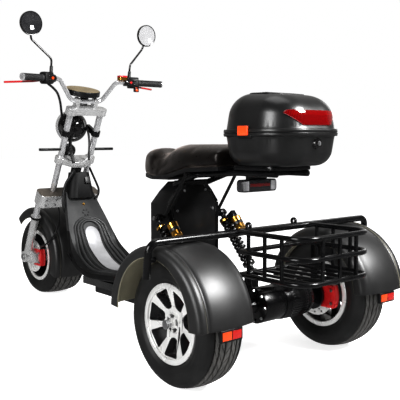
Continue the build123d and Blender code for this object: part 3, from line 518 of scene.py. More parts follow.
# ------------------------------------------------------------------ what repeats
def tree_with(name, **inputs):
    """A new Geometry Nodes tree, and its inputs: the geometry and the named ones."""
    tree = bpy.data.node_groups.new(name, "GeometryNodeTree")
    for label, kind in {"Geometry": "Geometry", **inputs, "Finish": "Material"}.items():
        tree.interface.new_socket(label.replace("_", " "), in_out="INPUT",
                                  socket_type="NodeSocket" + kind)
    tree.interface.new_socket("Geometry", in_out="OUTPUT", socket_type="NodeSocketGeometry")
    return tree, tree.nodes.new("NodeGroupInput").outputs


def hand_out(tree, given, points, shape, **turn):
    """Ends a tree: a shape on each point, made a real mesh with the finish."""
    copies = add_node(tree, "GeometryNodeInstanceOnPoints", Points=points, Instance=shape, **turn)
    real = add_node(tree, "GeometryNodeRealizeInstances", Geometry=copies.outputs["Instances"])
    paint = add_node(tree, "GeometryNodeSetMaterial", Geometry=real.outputs["Geometry"],
                     Material=given["Finish"])
    add_node(tree, "NodeGroupOutput", Geometry=paint.outputs["Geometry"])
    return tree


def maths(tree, operation, *values):
    """The result of a sum on sockets and numbers."""
    return add_node(tree, "ShaderNodeMath", *values, settings={"operation": operation}).outputs[0]


def wheel_tree():
    """Copies of a shape evenly round the Y axis through a centre."""
    tree, given = tree_with("copies_round_an_axle", Copies="Int", Centre="Vector",
                            First_angle="Float")
    points = add_node(tree, "GeometryNodePoints", Count=given["Copies"], Position=given["Centre"])
    index = add_node(tree, "GeometryNodeInputIndex").outputs["Index"]
    share = maths(tree, "DIVIDE", index, given["Copies"])
    turn = maths(tree, "MULTIPLY_ADD", share, 2 * math.pi, given["First angle"])
    spin = add_node(tree, "ShaderNodeCombineXYZ", Y=turn)
    return hand_out(tree, given, points.outputs["Points"], given["Geometry"],
                    Rotation=spin.outputs["Vector"])


def row_tree():
    """Copies of a shape in a row, a step apart."""
    tree, given = tree_with("copies_in_a_row", Copies="Int", Step="Vector")
    index = add_node(tree, "GeometryNodeInputIndex").outputs["Index"]
    shift = add_node(tree, "ShaderNodeVectorMath", Vector=given["Step"], Scale=index,
                     settings={"operation": "SCALE"})
    points = add_node(tree, "GeometryNodePoints", Count=given["Copies"],
                      Position=shift.outputs["Vector"])
    return hand_out(tree, given, points.outputs["Points"], given["Geometry"])


def scatter_tree():
    """A screw's head on each point of a mesh, turned to the point's own direction."""
    tree, given = tree_with("screw_heads_on_points", Sides="Int", Head_radius="Float",
                            Head_height="Float")
    head = add_node(tree, "GeometryNodeMeshCone", Vertices=given["Sides"], Fill_Segments=1,
                    Radius_Bottom=given["Head radius"], Depth=given["Head height"],
                    Radius_Top=maths(tree, "MULTIPLY", given["Head radius"], 0.82))
    ahead = add_node(tree, "GeometryNodeInputNamedAttribute", Name="ahead",
                     settings={"data_type": "FLOAT_VECTOR"})
    turn = add_node(tree, "FunctionNodeAlignEulerToVector", Vector=ahead.outputs["Attribute"],
                    settings={"axis": "Z"})
    return hand_out(tree, given, given["Geometry"], head.outputs["Mesh"],
                    Rotation=turn.outputs["Rotation"])


ROUND_AXLE, IN_A_ROW, SCREW_HEADS = wheel_tree(), row_tree(), scatter_tree()


def grown(name, mesh, tree, **values):
    """The mesh that a tree makes of a shape, its inputs set by name."""
    holder = bpy.data.objects.new(name, mesh)
    bpy.context.scene.collection.objects.link(holder)
    maker = holder.modifiers.new(name, "NODES")
    maker.node_group = tree
    for item in tree.interface.items_tree:
        key = item.name.replace(" ", "_")
        if item.in_out == "INPUT" and key in values:
            maker[item.identifier] = values[key]
    result = evaluated_mesh(holder)
    result.name = name
    bpy.data.objects.remove(holder)
    return result


def round_axle(name, mesh, copies, centre, finish_name, first=0.0):
    """Copies of a shape round a wheel's axle: the shape is modelled about the origin."""
    return grown(name, mesh, ROUND_AXLE, Copies=copies, Centre=centre, First_angle=first,
                 Finish=FINISH[finish_name])


def screws(name, spots, body, slot="stainless", sides=6, radius=0.0055, height=0.004):
    """Screw heads at spots, each a place and the way that it faces, on one body."""
    mesh = bpy.data.meshes.new(name)
    mesh.from_pydata([place + ahead.normalized() * height / 2 for place, ahead in spots], [], [])
    layer = mesh.attributes.new("ahead", "FLOAT_VECTOR", "POINT")
    for item, (place, ahead) in zip(layer.data, spots):
        item.vector = ahead
    result = grown(name, mesh, SCREW_HEADS, Sides=sides, Head_radius=radius, Head_height=height,
                   Finish=FINISH[slot])
    return added(name, result, slot, body, angle=30)


# ------------------------------------------------------------------ stage, light and camera
WHITE = (1, 1, 1, 1)
CAMERA_PLACE = Vector((-2.6375, 1.866, 0.848))
CAMERA_YAW, CAMERA_PITCH, CAMERA_ROLL = (math.radians(a) for a in (-39.71, 4.82, -0.33))
CAMERA_LENS, CAMERA_SENSOR = 62.8, 36
# each lamp: its place, what it points at, its width and height, and its power in watts
LAMPS = {"over": ((-0.2, -0.3, 3.4), (-0.1, 0, 0.4), 2.0, 1.4, 16),
         "left": ((-0.9, 3.6, 2.0), (-0.3, 0, 0.6), 1.2, 1.6, 95),
         "key": ((-3.1, -1.25, 2.75), (-0.7, 0.3, 0.4), 1.25, 1.25, 300),
         "right": ((0.6, -3.6, 1.6), (0.0, 0, 0.6), 0.8, 1.6, 8),
         "strip": ((-1.7, 3.1, 1.4), (0.6, 0, 0.9), 0.5, 2.4, 40)}


def studio_plane(name, height, tone, near, far):
    """A grey floor that glows from near to far with the distance from its middle."""
    bpy.ops.mesh.primitive_plane_add(size=60, location=(0, 0, height))
    floor = bpy.context.object
    floor.name = name
    material, tree, bsdf, place = shader(name, Base_Color=(tone, tone, tone, 1), Roughness=0.7,
                                         Specular_IOR_Level=0.0, Emission_Color=WHITE)
    away = add_node(tree, "ShaderNodeVectorMath", place, settings={"operation": "LENGTH"})
    glow = add_node(tree, "ShaderNodeMapRange", Value=away.outputs["Value"], From_Min=0.9,
                    From_Max=3.0, To_Min=near, To_Max=far)
    tree.links.new(glow.outputs["Result"], bsdf.inputs["Emission Strength"])
    material.cycles.emission_sampling = "NONE"
    floor.data.materials.append(material)
    return floor


def make_world():
    """A surround that is white where it is seen, and lights from ahead of the trike."""
    world = bpy.data.worlds.new("studio")
    world.use_nodes = True
    tree = world.node_tree
    seen = tree.nodes["Background"]
    seen.inputs["Color"].default_value = WHITE
    way = add_node(tree, "ShaderNodeTexCoord").outputs["Generated"]
    toward = add_node(tree, "ShaderNodeVectorMath", way, (0.77, -0.62, 0.1),
                      settings={"operation": "DOT_PRODUCT"})
    backdrop = add_node(tree, "ShaderNodeMapRange", Value=toward.outputs["Value"], From_Min=0.1,
                        From_Max=0.95, To_Min=0.03, To_Max=0.45)
    around = add_node(tree, "ShaderNodeBackground", Color=(1, 0.985, 0.96, 1),
                      Strength=backdrop.outputs["Result"])
    mixed = add_node(tree, "ShaderNodeMixShader",
                     add_node(tree, "ShaderNodeLightPath").outputs["Is Camera Ray"],
                     around.outputs["Background"], seen.outputs["Background"])
    tree.links.new(mixed.outputs["Shader"], tree.nodes["World Output"].inputs["Surface"])
    bpy.context.scene.world = world


def make_stage():
    """The floor that is seen, a dimmer one for reflections, the surround and the lamps."""
    studio_plane("studio_floor", 0, 0.88, 0.8, 1.1).visible_glossy = False
    dim = studio_plane("reflected_floor", -0.004, 0.1, 0.2, 0.05)
    dim.visible_camera = False
    dim.visible_diffuse = False
    dim.visible_shadow = False
    make_world()
    scene = bpy.context.scene
    scene.cycles.use_denoising = True
    scene.cycles.use_adaptive_sampling = False
    scene.cycles.sample_clamp_indirect = 2.0
    scene.view_settings.view_transform = "Standard"
    scene.view_settings.gamma = 0.86
    for name, (place, aim, width, height, power) in LAMPS.items():
        lamp = bpy.data.lights.new("lamp_" + name, "AREA")
        lamp.shape = "RECTANGLE"
        lamp.size, lamp.size_y, lamp.energy = width, height, power
        holder = bpy.data.objects.new("lamp_" + name, lamp)
        holder.location = place
        holder.rotation_euler = (Vector(aim) - Vector(place)).to_track_quat("-Z", "Y").to_euler()
        scene.collection.objects.link(holder)


def make_camera():
    """The camera behind and to the left, a little above the seat."""
    level_ahead = X * math.cos(CAMERA_YAW) + Y * math.sin(CAMERA_YAW)
    ahead = level_ahead * math.cos(CAMERA_PITCH) - Z * math.sin(CAMERA_PITCH)
    side = ahead.cross(Z).normalized()
    top = side.cross(ahead)
    right = side * math.cos(CAMERA_ROLL) + top * math.sin(CAMERA_ROLL)
    up = top * math.cos(CAMERA_ROLL) - side * math.sin(CAMERA_ROLL)
    view = bpy.data.cameras.new("camera")
    view.lens = CAMERA_LENS
    view.sensor_width = CAMERA_SENSOR
    camera = bpy.data.objects.new("camera", view)
    camera.matrix_world = at(CAMERA_PLACE) @ axes(right, up, -ahead)
    bpy.context.scene.collection.objects.link(camera)
    bpy.context.scene.camera = camera


make_stage()
make_camera()


# ------------------------------------------------------------------ tyres
RIM_LIP, BEAD_OUT, BEAD_IN = 0.141, 0.1285, 0.1275
TREAD_GROOVE, SIPE, ROW_GAP = 0.0055, 0.0045, 0.0065
SIDEWALL_STEPS, CROWN_STEPS, SIDEWALL_RINGS, RING_DEEP = 18, 24, (5, 6, 12), 0.0012
# the rows' edges as shares of the tread's half width; their lean and shift in pitches
TREAD_ROWS = (-0.94, -0.62, -0.22, 0.22, 0.62, 0.94)
ROW_LEANS, ROW_SHIFTS = (0.8, -0.95, 0.7, -0.95, -0.8), (0.0, 0.4, 0.1, 0.6, 0.2)


def arc_through(first, middle, last, steps):
    """Points of the arc through three flat points."""
    (ax, ay), (bx, by), (cx, cy) = first, middle, last
    a2, b2, c2 = ax**2 + ay**2, bx**2 + by**2, cx**2 + cy**2
    d = 2 * (ax * (by - cy) + bx * (cy - ay) + cx * (ay - by))
    ux = (a2 * (by - cy) + b2 * (cy - ay) + c2 * (ay - by)) / d
    uy = (a2 * (cx - bx) + b2 * (ax - cx) + c2 * (bx - ax)) / d
    radius = math.hypot(ax - ux, ay - uy)
    turns = [math.atan2(y - uy, x - ux) for x, y in (first, middle, last)]
    for k in (1, 2):
        while turns[k] - turns[k - 1] > math.pi:
            turns[k] -= 2 * math.pi
        while turns[k] - turns[k - 1] < -math.pi:
            turns[k] += 2 * math.pi
    angles = [turns[0] + (turns[2] - turns[0]) * k / steps for k in range(steps + 1)]
    return [(ux + radius * math.cos(a), uy + radius * math.sin(a)) for a in angles]


def make_tread(name, outer, edge, tread, pitches, centre):
    """Rows of skewed blocks round a tyre, their tops following its crown."""
    pitch = 2 * math.pi / pitches
    span = pitch - SIPE / outer
    blocks = bpy.data.meshes.new(name + "_blocks")

    def top(y):
        """The tread's radius at a distance from its middle."""
        return outer - (outer - edge) * (y / tread) ** 2

    with worked(blocks) as work:
        for low, high, lean, shift in zip(TREAD_ROWS, TREAD_ROWS[1:], ROW_LEANS, ROW_SHIFTS):
            corners = []
            for y, turn in ((low * tread + ROW_GAP / 2, shift * pitch),
                            (high * tread - ROW_GAP / 2, shift * pitch + lean * pitch)):
                for a in (turn, turn + span / 2, turn + span):
                    for r in (top(y) - TREAD_GROOVE - 0.002, top(y)):
                        corners.append(work.verts.new((r * math.cos(a), y, r * math.sin(a))))
            a0, b0, a1, b1, a2, b2, c0, d0, c1, d1, c2, d2 = corners
            for face in ((b0, b1, d1, d0), (b1, b2, d2, d1), (a0, a1, b1, b0), (a1, a2, b2, b1),
                         (d0, d1, c1, c0), (d1, d2, c2, c1), (a0, b0, d0, c0), (a2, c2, d2, b2)):
                work.faces.new(face)
        bmesh.ops.recalc_face_normals(work, faces=work.faces)
        sharp = [e for e in work.edges if len(e.link_faces) == 2 and e.calc_face_angle(0) > 0.6]
        bmesh.ops.bevel(work, geom=sharp, offset=0.0009, segments=1, affect="EDGES")
    return round_axle(name + "_tread", blocks, pitches, centre, "tyre_rubber")


def make_tyre(node, centre, outer, half, pitches):
    """A tyre: a carcass with sidewall rings and groove floors painted black as painted shade, and
    lighter grey tread blocks.
    """
    edge, tread, bead = outer - 0.007, half - 0.028, half - 0.0163
    wall = arc_through((bead, RIM_LIP), (half, (edge + RIM_LIP) / 2), (tread, edge),
                       SIDEWALL_STEPS)
    crown = arc_through((tread, edge), (0.0, outer), (-tread, edge), CROWN_STEPS)
    wall = [(y - (RING_DEEP if k in SIDEWALL_RINGS else 0), r)
            for k, (y, r) in enumerate(wall)][:-1]
    floor = [(y, r - TREAD_GROOVE) for y, r in crown[1:-1]]
    shoulder = edge - 0.0006
    section = [(bead, BEAD_OUT), *wall, (tread, shoulder), *floor, (-tread, shoulder),
               *[(-y, r) for y, r in reversed(wall)], (-bead, BEAD_OUT), (-bead, BEAD_IN),
               (bead, BEAD_IN), (bead, BEAD_OUT)]
    carcass = lathe(node + "_carcass", [(r, y) for y, r in section], centre, Y, 112)
    tread_blocks = make_tread(node, outer, edge, tread, pitches, centre)
    first_block = len(carcass.polygons)

    def choose(face):
        """Lighter grey on the blocks, and black painted in the grooves between them as painted
        shade.
        """
        if face.index >= first_block:
            return 1
        off = face.center - centre
        return 2 if abs(off.y) < tread and math.hypot(off.x, off.z) > outer - 0.016 else 0

    piece = made_anew(node, joined(node, [carcass, tread_blocks]), 32)
    painted(piece, choose, ("tread_rubber", "matte_black"))


for side_name, side_sign in SIDES:
    make_tyre(f"rear_{side_name}_tyre", REAR_AXLE + Y * side_sign * REAR_WHEEL_Y, 0.228, 0.086,
              36)
make_tyre("front_tyre", FRONT_AXLE, 0.217, 0.105, 34)


# ------------------------------------------------------------------ rims
RIM_WELL, RIM_FLANGE = 0.1267, 0.14
SPIDER_THICK, DISH_FROM, DISH_OVER = 0.040, 0.045, 0.077
HUB_RING = (0.0195, 0.0315)
DISC_HOLES, DISC_HOLE_R, DISC_RINGS = 14, 0.0042, ((0.078, 0.0), (0.066, 0.11), (0.054, 0.22))


def window(inner, outer, half_gap_inner, half_gap_outer, bends, turn, steps=4):
    """A rounded opening between two spokes, about an angle: points of its outline."""
    corners = [(inner, -half_gap_inner), (outer, -half_gap_outer), (outer, half_gap_outer),
               (inner, half_gap_inner)]
    flat = []
    for r, across in corners:
        a = math.asin(max(-1, min(1, across / r)))
        flat.append(Vector((r * math.cos(a), r * math.sin(a))))
    outline = []
    for k, here in enumerate(flat):
        before, after = flat[k - 1], flat[(k + 1) % len(flat)]
        reach = min(bends[0] if k in (0, 3) else bends[1], 0.45 * (before - here).length,
                    0.45 * (after - here).length)
        start = here + (before - here).normalized() * reach
        end = here + (after - here).normalized() * reach
        for t in (j / steps for j in range(steps + 1)):
            outline.append(start * (1 - t)**2 + here * 2 * t * (1 - t) + end * t**2)
    dense = []
    for here, after in zip(outline, outline[1:] + outline[:1]):
        count = max(1, round((after - here).length / 0.012))
        dense += [here.lerp(after, j / count) for j in range(count)]
    spin = Matrix.Rotation(turn, 2)
    return [tuple(spin @ point) for point in dense]


def make_barrel(node, centre, flange):
    """A rim's barrel with its lips, and the dark band inside it."""
    half_section = [(RIM_WELL - 0.0051, flange - 0.0085), (RIM_WELL - 0.005, flange - 0.001),
                    (RIM_WELL - 0.004, flange), (0.1375, flange), (RIM_FLANGE, flange - 0.0015),
                    (RIM_FLANGE, flange - 0.006), (RIM_WELL + 0.001, flange - 0.006),
                    (RIM_WELL, flange - 0.0075)]
    section = half_section + [(r, -y) for r, y in reversed(half_section)]
    return (lathe(node + "_barrel", section, centre, Y),
            lathe(node + "_inside", [section[0], section[-1]], centre, Y))


def make_disc(node, place, out):
    """A brake disc with three rings of holes."""
    holes = []
    for radius, first in DISC_RINGS:
        for a in (2 * math.pi * k / DISC_HOLES + first for k in range(DISC_HOLES)):
            holes.append(circle(DISC_HOLE_R, 10, (radius * math.cos(a), radius * math.sin(a))))
    return plate(node + "_disc", [circle(0.09, 72), circle(0.034, 32)] + holes, 0.004,
                 facing(place, out, X), 0.0003)


def make_rim(node, centre, half, face, spokes, spoke_w, dish, bolt_ring, reach, corners):
    """A rim: turned barrel and lip, a machined spider with dark pockets, hub and drilled disc.

    reach is a window's inner and outer radius, its inner half width and what is added to the
    outer one; corners are its bends; dish is how far the spider's middle is sunk.
    """
    flange = half - 0.010
    out = Vector((0, face, 0))
    barrel, inside = make_barrel(node, centre, flange)
    inner_r, outer_r, inner_half, ease = reach
    outer_half = outer_r * math.sin(math.pi / spokes) - spoke_w / 2 + ease
    windows = [window(inner_r, outer_r, inner_half, outer_half, corners,
                      2 * math.pi * (k + 0.5) / spokes) for k in range(spokes)]
    spider = plate(node + "_spider",
                   [circle(RIM_WELL - 0.0045, 112)] + windows + [circle(0.02, 24)],
                   SPIDER_THICK, facing(centre + out * (flange - 0.028), out, X), 0.0012)

    def dished(place):
        """The spider sunk toward its middle."""
        off = place - centre
        away = (off - out * off.dot(out)).length
        return place - out * dish * (1 - ramp(away, DISH_FROM, DISH_OVER)) ** 1.2

    reshaped(spider, dished)
    boss, back = flange - dish, -half - 0.012
    hub = lathe(node + "_hub", [
        (0.0102, boss + 0.004), (0.0185, boss + 0.004), (HUB_RING[0], boss + 0.0005),
        (HUB_RING[1], boss + 0.0005), (0.0325, boss + 0.003), (0.0345, boss + 0.001),
        (0.036, boss - 0.006), (0.035, boss - 0.03), (0.035, back), (0.0102, back)],
        centre, out, 48)
    nut = lathe(node + "_nut", [(0.0103, boss + 0.0125), (0.0135, boss + 0.0125),
                                (0.0155, boss + 0.0105), (0.0155, boss + 0.002)], centre, out, 6)
    bolt = rounded_box(node + "_bolt", (0.011, 0.005, 0.011), at((bolt_ring, 0, 0)), 0.002)
    bolts = round_axle(node + "_bolts", bolt, 5, centre + out * (boss + 0.0025),
                       "machined_aluminium", 0.3)
    meshes = [barrel, spider, hub, nut, inside, make_disc(node, centre - out * (half + 0.010), out),
              bolts]
    ends = [0]
    for mesh in meshes:
        ends.append(ends[-1] + len(mesh.polygons))

    def choose(polygon):
        """Machined where it faces out, dark in the pockets, the hub's ring and the barrel."""
        k, outward = polygon.index, polygon.normal.dot(out)
        if ends[4] <= k < ends[5]:
            return 1
        if ends[1] <= k < ends[2]:
            return 1 if outward < 0.55 else 0
        if ends[2] <= k < ends[3] and outward > 0.5:
            off = polygon.center - centre
            return 1 if HUB_RING[0] < (off - out * off.dot(out)).length < HUB_RING[1] else 0
        return 0

    painted(made_anew(node, joined(node, meshes), 34), choose, ("rim_pocket",))


for side_name, side_sign in SIDES:
    make_rim(f"rear_{side_name}_rim", REAR_AXLE + Y * side_sign * REAR_WHEEL_Y, 0.086, side_sign,
             7, 0.038, 0.020, 0.026, (0.054, 0.1214, 0.016, 0.002), (0.018, 0.010))
make_rim("front_rim", FRONT_AXLE, 0.105, -1, 14, 0.010, 0.012, 0.027,
         (0.052, 0.117, 0.0045, 0.0), (0.006, 0.004))


# ------------------------------------------------------------------ fenders
def make_fender(node, centre):
    """A fender in satin paint outside and olive undercoat inside, its rim rolled."""
    def choose(place, normal):
        """1 for the faces that look in at the wheel."""
        away = place - centre
        inward = -normal.dot(Vector((away.x, 0, away.z)).normalized())
        sideways = normal.y * away.y
        return 1 if inward > 0.25 or (sideways < -0.0001 and abs(normal.y) > 0.6) else 0

    region_dressed(node, choose, ("fender_inside",), 0.0012, angle=30, shaded=55)


for side_name, side_sign in SIDES:
    make_fender(f"fender_{side_name}", rear(0, side_sign * 410, 243))
make_fender("front_fender", FRONT_AXLE)


# ------------------------------------------------------------------ seat
SEAT_UP, SEAT_DEEP = 728.7, 0.075
PAN_LIFT = 5
# the underside above SEAT_UP: (millimetres ahead of the rear axle, height), in the CAD form
# and as it is shown
FORM_UNDERSIDE = ((118, 23), (313, 13), (460, -33), (735, -48))
WAVED_UNDERSIDE = ((118, 23), (313, 13), (520, -37), (720, -26))
MOST_PUFF, PUFF_FRAMES = 0.010, 20


def level(x, corners):
    """The height at x of a line through corners, level before the first one."""
    for (x0, z0), (x1, z1) in zip(corners, corners[1:]):
        if x < x1 or (x1, z1) == corners[-1]:
            return z0 + (z1 - z0) * max(0.0, x - x0) / (x1 - x0)
    return None


def drawn_in(place):
    """The seat's nose drawn in at its sides and its tip."""
    ahead = ramp(place.x, rear(540, 0, 0).x, 0.222)
    return Vector((place.x - 0.018 * ahead**3, place.y * (1 - 0.42 * ahead**1.5), place.z))


def waved(place, lift=0.0):
    """The seat's long wave: a dip behind the nose and an underside that sweeps up to the tip."""
    x = (place.x - REAR_AXLE.x) / MM
    old, new = level(x, FORM_UNDERSIDE), level(x, WAVED_UNDERSIDE)
    high = ramp(place.z, (SEAT_UP + old) * MM, SEAT_DEEP)
    dip = -17 * math.exp(-((x - 535) / 60)**2)
    return place + Z * MM * ((new - old) * (1 - high) + dip * high + lift * ramp(x, 380, 80))


def crowned(place):
    """The cover rounded over its nose and down to its sides."""
    x = (place.x - REAR_AXLE.x) / MM
    low = (SEAT_UP + level(x, FORM_UNDERSIDE)) * MM
    half = 0.138 - 0.00007 * max(0.0, x - 330)
    tip = (1 - ramp(x, 590, 180)**2.4) ** (1 / 2.4)
    side = 1 - 0.24 * min(1.0, abs(place.y) / half)**4
    rise = place.z - low
    if rise > 0:
        rise *= (0.25 + 0.75 * tip) * side
    return Vector((place.x, place.y, low + rise))


def smoothed(piece, name, iterations, factor):
    """Adds a smoothing modifier."""
    smooth = piece.modifiers.new(name, "SMOOTH")
    smooth.iterations = iterations
    smooth.factor = factor


def blow_up(cover):
    """Inflates the cover like a filled cushion, its underside held flat by the pan."""
    held = cover.vertex_groups.new(name="held_by_pan")
    held.add([v.index for v in cover.data.vertices if v.normal.z < -0.45], 1.0, "REPLACE")
    cloth = cover.modifiers.new("cover", "CLOTH")
    for key, value in {"quality": 6, "mass": 0.3, "tension_stiffness": 22,
                       "compression_stiffness": 22, "bending_stiffness": 10, "use_pressure": True,
                       "uniform_pressure_force": 4.0,
                       "vertex_group_mass": "held_by_pan"}.items():
        setattr(cloth.settings, key, value)
    cloth.settings.effector_weights.gravity = 0
    cloth.collision_settings.use_collision = False
    cloth.point_cache.frame_start = 1
    cloth.point_cache.frame_end = PUFF_FRAMES
    start = [v.co.copy() for v in cover.data.vertices]
    for moment in range(1, PUFF_FRAMES + 1):
        bpy.context.scene.frame_set(moment)
    smoothed(cover, "settle", 14, 0.5)
    applied(cover)
    bpy.context.scene.frame_set(1)
    for vertex, place in zip(cover.data.vertices, start):
        shift = vertex.co - place
        if shift.length > MOST_PUFF:
            vertex.co = place + shift * (MOST_PUFF / shift.length)


def box_of(mesh):
    """The lowest and highest value of a mesh on each axis."""
    return [(min(v.co[k] for v in mesh.vertices), max(v.co[k] for v in mesh.vertices))
            for k in range(3)]


def fill_box(mesh, form, inset):
    """Stretches a softened shape back to its CAD form's box, less an inset."""
    for k, ((low, high), (low_to, high_to)) in enumerate(zip(box_of(mesh), box_of(form))):
        low_to, high_to = low_to + inset, high_to - inset
        scale = (high_to - low_to) / (high - low)
        for vertex in mesh.vertices:
            vertex.co[k] = low_to + (vertex.co[k] - low) * scale


def squeeze_into_box(mesh, form, margin):
    """Keeps a soft piece within a margin of its CAD form's box."""
    box = [(low - margin, high + margin) for low, high in box_of(form)]
    reshaped(mesh, lambda place: [min(max(place[k], box[k][0]), box[k][1]) for k in range(3)])


def make_seat():
    """The seat: a padded cover blown up from the CAD form and held by its rim."""
    form = frame["nodes"]["seat"].data
    cover = bpy.data.objects.new("seat_cover", form.copy())
    bpy.context.scene.collection.objects.link(cover)
    remesh = cover.modifiers.new("even", "REMESH")
    remesh.mode = "VOXEL"
    remesh.voxel_size = 0.0065
    applied(cover)
    smoothed(cover, "soften", 90, 0.6)
    applied(cover)
    fill_box(cover.data, form, 0.002)
    reshaped(cover.data, lambda place: waved(drawn_in(crowned(place))))
    blow_up(cover)
    even = cover.modifiers.new("even", "SUBSURF")
    even.levels = even.render_levels = 1
    applied(cover)
    squeeze_into_box(cover.data, form, 0.004)
    cover.data.materials.clear()
    cover.data.materials.append(FINISH["seat_leather"])
    shade(cover.data, 60)
    replacing(cover, "seat")


make_seat()
reshaped(dressed("seat_pan", 0.004).data, lambda place: waved(drawn_in(place), PAN_LIFT))


# ------------------------------------------------------------------ top case
CASE_X, CASE_SPLIT = -77, 876
CASE_HALF_L, CASE_HALF_W, CASE_CORNER = 181, 175, 130
LID_HIGH, LID_FALL = 0.144, 0.022
SEAM_HIGH, SEAM_INSIDE = 3, -6
LENS_SPLIT = rear(0, 0, 940)


def rounded_rectangle(half_x, half_y, corner, steps=10):
    """Points of a rounded rectangle's outline, anticlockwise."""
    outline = []
    for sx, sy, start in ((1, 1, 0), (-1, 1, 90), (-1, -1, 180), (1, -1, 270)):
        outline += arc((sx * (half_x - corner), sy * (half_y - corner)), corner, start,
                       start + 90, steps)
    return outline


def case_seam(up, out_by, body):
    """A moulded seam round the case at a height above the ground."""
    rim, hole = (rounded_rectangle((CASE_HALF_L + off) * MM, (CASE_HALF_W + off) * MM,
                                   (CASE_CORNER + off) * MM) for off in (out_by, SEAM_INSIDE))
    mesh = plate("case_seam_" + body, [rim, hole], SEAM_HIGH * MM,
                 at(rear(CASE_X, 0, up + SEAM_HIGH / 2)), 0.001)
    added("case_seam_" + body, mesh, "satin_body", body)


def sloped(place):
    """A place on the lid, let down toward the back where the dome falls away."""
    back = ramp(rear(CASE_X, 0, 0).x - place.x, 0, CASE_HALF_L * MM)
    up = max(0.0, (place.z - CASE_SPLIT * MM) / LID_HIGH)
    return place - Z * LID_FALL * back * up**2


def make_case():
    """The case's shells, the pad on the lid, the lock, the seams and the catches."""
    for node in ("case_base", "case_lid"):
        reshaped(dressed(node, 0.003, angle=40).data, sloped)
    pad = plate("lid_pad", [rounded_rectangle(0.078, 0.090, 0.045)], 0.008,
                at(rear(CASE_X + 16, 0, 1018)), 0.003)
    added("lid_pad", reshaped(pad, sloped), "black_plastic", "case_lid")
    rib = rounded_box("pad_rib", (0.005, 0.150, 0.003), at(rear(CASE_X - 38, 0, 1021)), 0.001, 1)
    ribs = grown("pad_ribs", rib, IN_A_ROW, Copies=9, Step=(0.0135, 0, 0),
                 Finish=FINISH["grip_rubber"])
    added("lid_pad_ribs", reshaped(ribs, sloped), "grip_rubber", "case_lid")
    middle = rear(CASE_X - CASE_HALF_L + 9, 0, CASE_SPLIT - 38)
    lock = lathe("lock", [(0.0, 0.016), (0.0135, 0.016), (0.0165, 0.0135), (0.019, 0.006),
                          (0.021, 0.0)], middle, -X, 40)
    added("case_lock", lock, "black_plastic", "chassis", FINISH["shell_black"])
    barrel = lathe("lock_barrel", [(0.0, 0.0175), (0.0075, 0.0175), (0.0085, 0.0165),
                                   (0.0085, 0.012)], middle, -X, 32)
    added("lock_barrel", barrel, "stainless", "chassis")
    case_seam(CASE_SPLIT - 4, 10.5, "chassis")
    case_seam(CASE_SPLIT + 10, 8, "case_lid")
    for name, side in SIDES:
        catch = rounded_box("catch", (0.066, 0.006, 0.016),
                            at(rear(CASE_X - 4, side * 182, CASE_SPLIT - 14)), 0.003)
        added("clasp_catch_" + name, catch, "black_plastic", "chassis")
    dressed("case_clasps", 0.0028, angle=30, segments=3, ending="_dressed")


def make_case_lens():
    """The lens at the back of the lid, in a pale rim with a brighter strip along its top."""
    piece = linked("case_lens_dressed", solid_copy("case_lens"), slot_of("case_lens"))
    with worked(piece.data) as work:
        for side in (1, -1):
            corner = rear(0, side * 128, 946)
            toward = (rear(0, side * 70, 902) - corner).normalized()
            away = Vector((0, side * abs(toward.z), -abs(toward.y))).normalized()
            cut = cut_through(work, corner, away, clear_outer=True)["geom_cut"]
            rim = [e for e in cut if isinstance(e, bmesh.types.BMEdge)]
            bmesh.ops.edgeloop_fill(work, edges=rim)
        cut_through(work, LENS_SPLIT, Z)
    bevelled(piece, 0.0022, 2, 30)

    def choose(face):
        """A pale rim where the lens turns in, a brighter strip above the split."""
        if face.normal.x > -0.55 and abs(face.normal.y) < 0.9 and abs(face.normal.z) > 0.5:
            return 2
        return 1 if face.center.z > LENS_SPLIT.z and abs(face.center.y) < 0.104 else 0

    painted(piece, choose, ("bright_red_lens", "lens_rim"))
    reshaped(piece.data, sloped)
    shade(piece.data)
    replacing(piece, "case_lens")


make_case()
make_case_lens()


# ------------------------------------------------------------------ foot deck
DECK_LINE = ((1385, 588), (1225, 310), (1090, 215), (590, 252))
DECK_BENDS = (150, 260)
DECK_HALF_W = 126
PLATE_HALF_W, PLATE_TOP = 42.5, 176
RIB_THICK, GROOVE_THICK, RING_AT, RING_R = 0.0072, 0.0052, 126, 16


def deck_profile():
    """The deck's upper line in the side view, from its top down and back."""
    corners = [Vector(point) for point in DECK_LINE]
    line = [corners[0]]
    for k, radius in zip((1, 2), DECK_BENDS):
        before, here, after = corners[k - 1:k + 2]
        run_in, run_out = (before - here).normalized(), (after - here).normalized()
        half_angle = math.acos(max(-1, min(1, run_in.dot(run_out)))) / 2
        reach = radius / math.tan(half_angle)
        middle = here + (run_in + run_out).normalized() * radius / math.sin(half_angle)
        start = (here + run_in * reach - middle).normalized()
        end = (here + run_out * reach - middle).normalized()
        line += [middle + start.slerp(end, j / 12) * radius for j in range(13)]
    return line + [corners[-1]]


DECK_PROFILE = deck_profile()


def on_deck(way, y, lift):
    """A point lifted off the deck, a way along its upper line from the top, in millimetres."""
    for start, end in zip(DECK_PROFILE, DECK_PROFILE[1:]):
        run = end - start
        if way <= run.length or end is DECK_PROFILE[-1]:
            normal = Vector((-run.y, run.x)).normalized()
            normal = normal if normal.y > 0 else -normal
            spot = start + run.normalized() * way + normal * lift
            return rear(spot.x, y, spot.y)
        way -= run.length
    return None


def outward(way):
    """The deck's outward direction a way along its line."""
    return (on_deck(way, 0, 10) - on_deck(way, 0, 0)).normalized()


def arched(sides, top, tall, half_w):
    """A route (way, y) up one side of the deck, round an arch and down the other side."""
    route = [(way, half_w(way)) for way in reversed(sides)]
    route += [(top + tall - tall * math.sin(math.radians(a)),
               half_w(top + tall) * math.cos(math.radians(a))) for a in range(0, 181, 15)]
    return route + [(way, -half_w(way)) for way in sides]


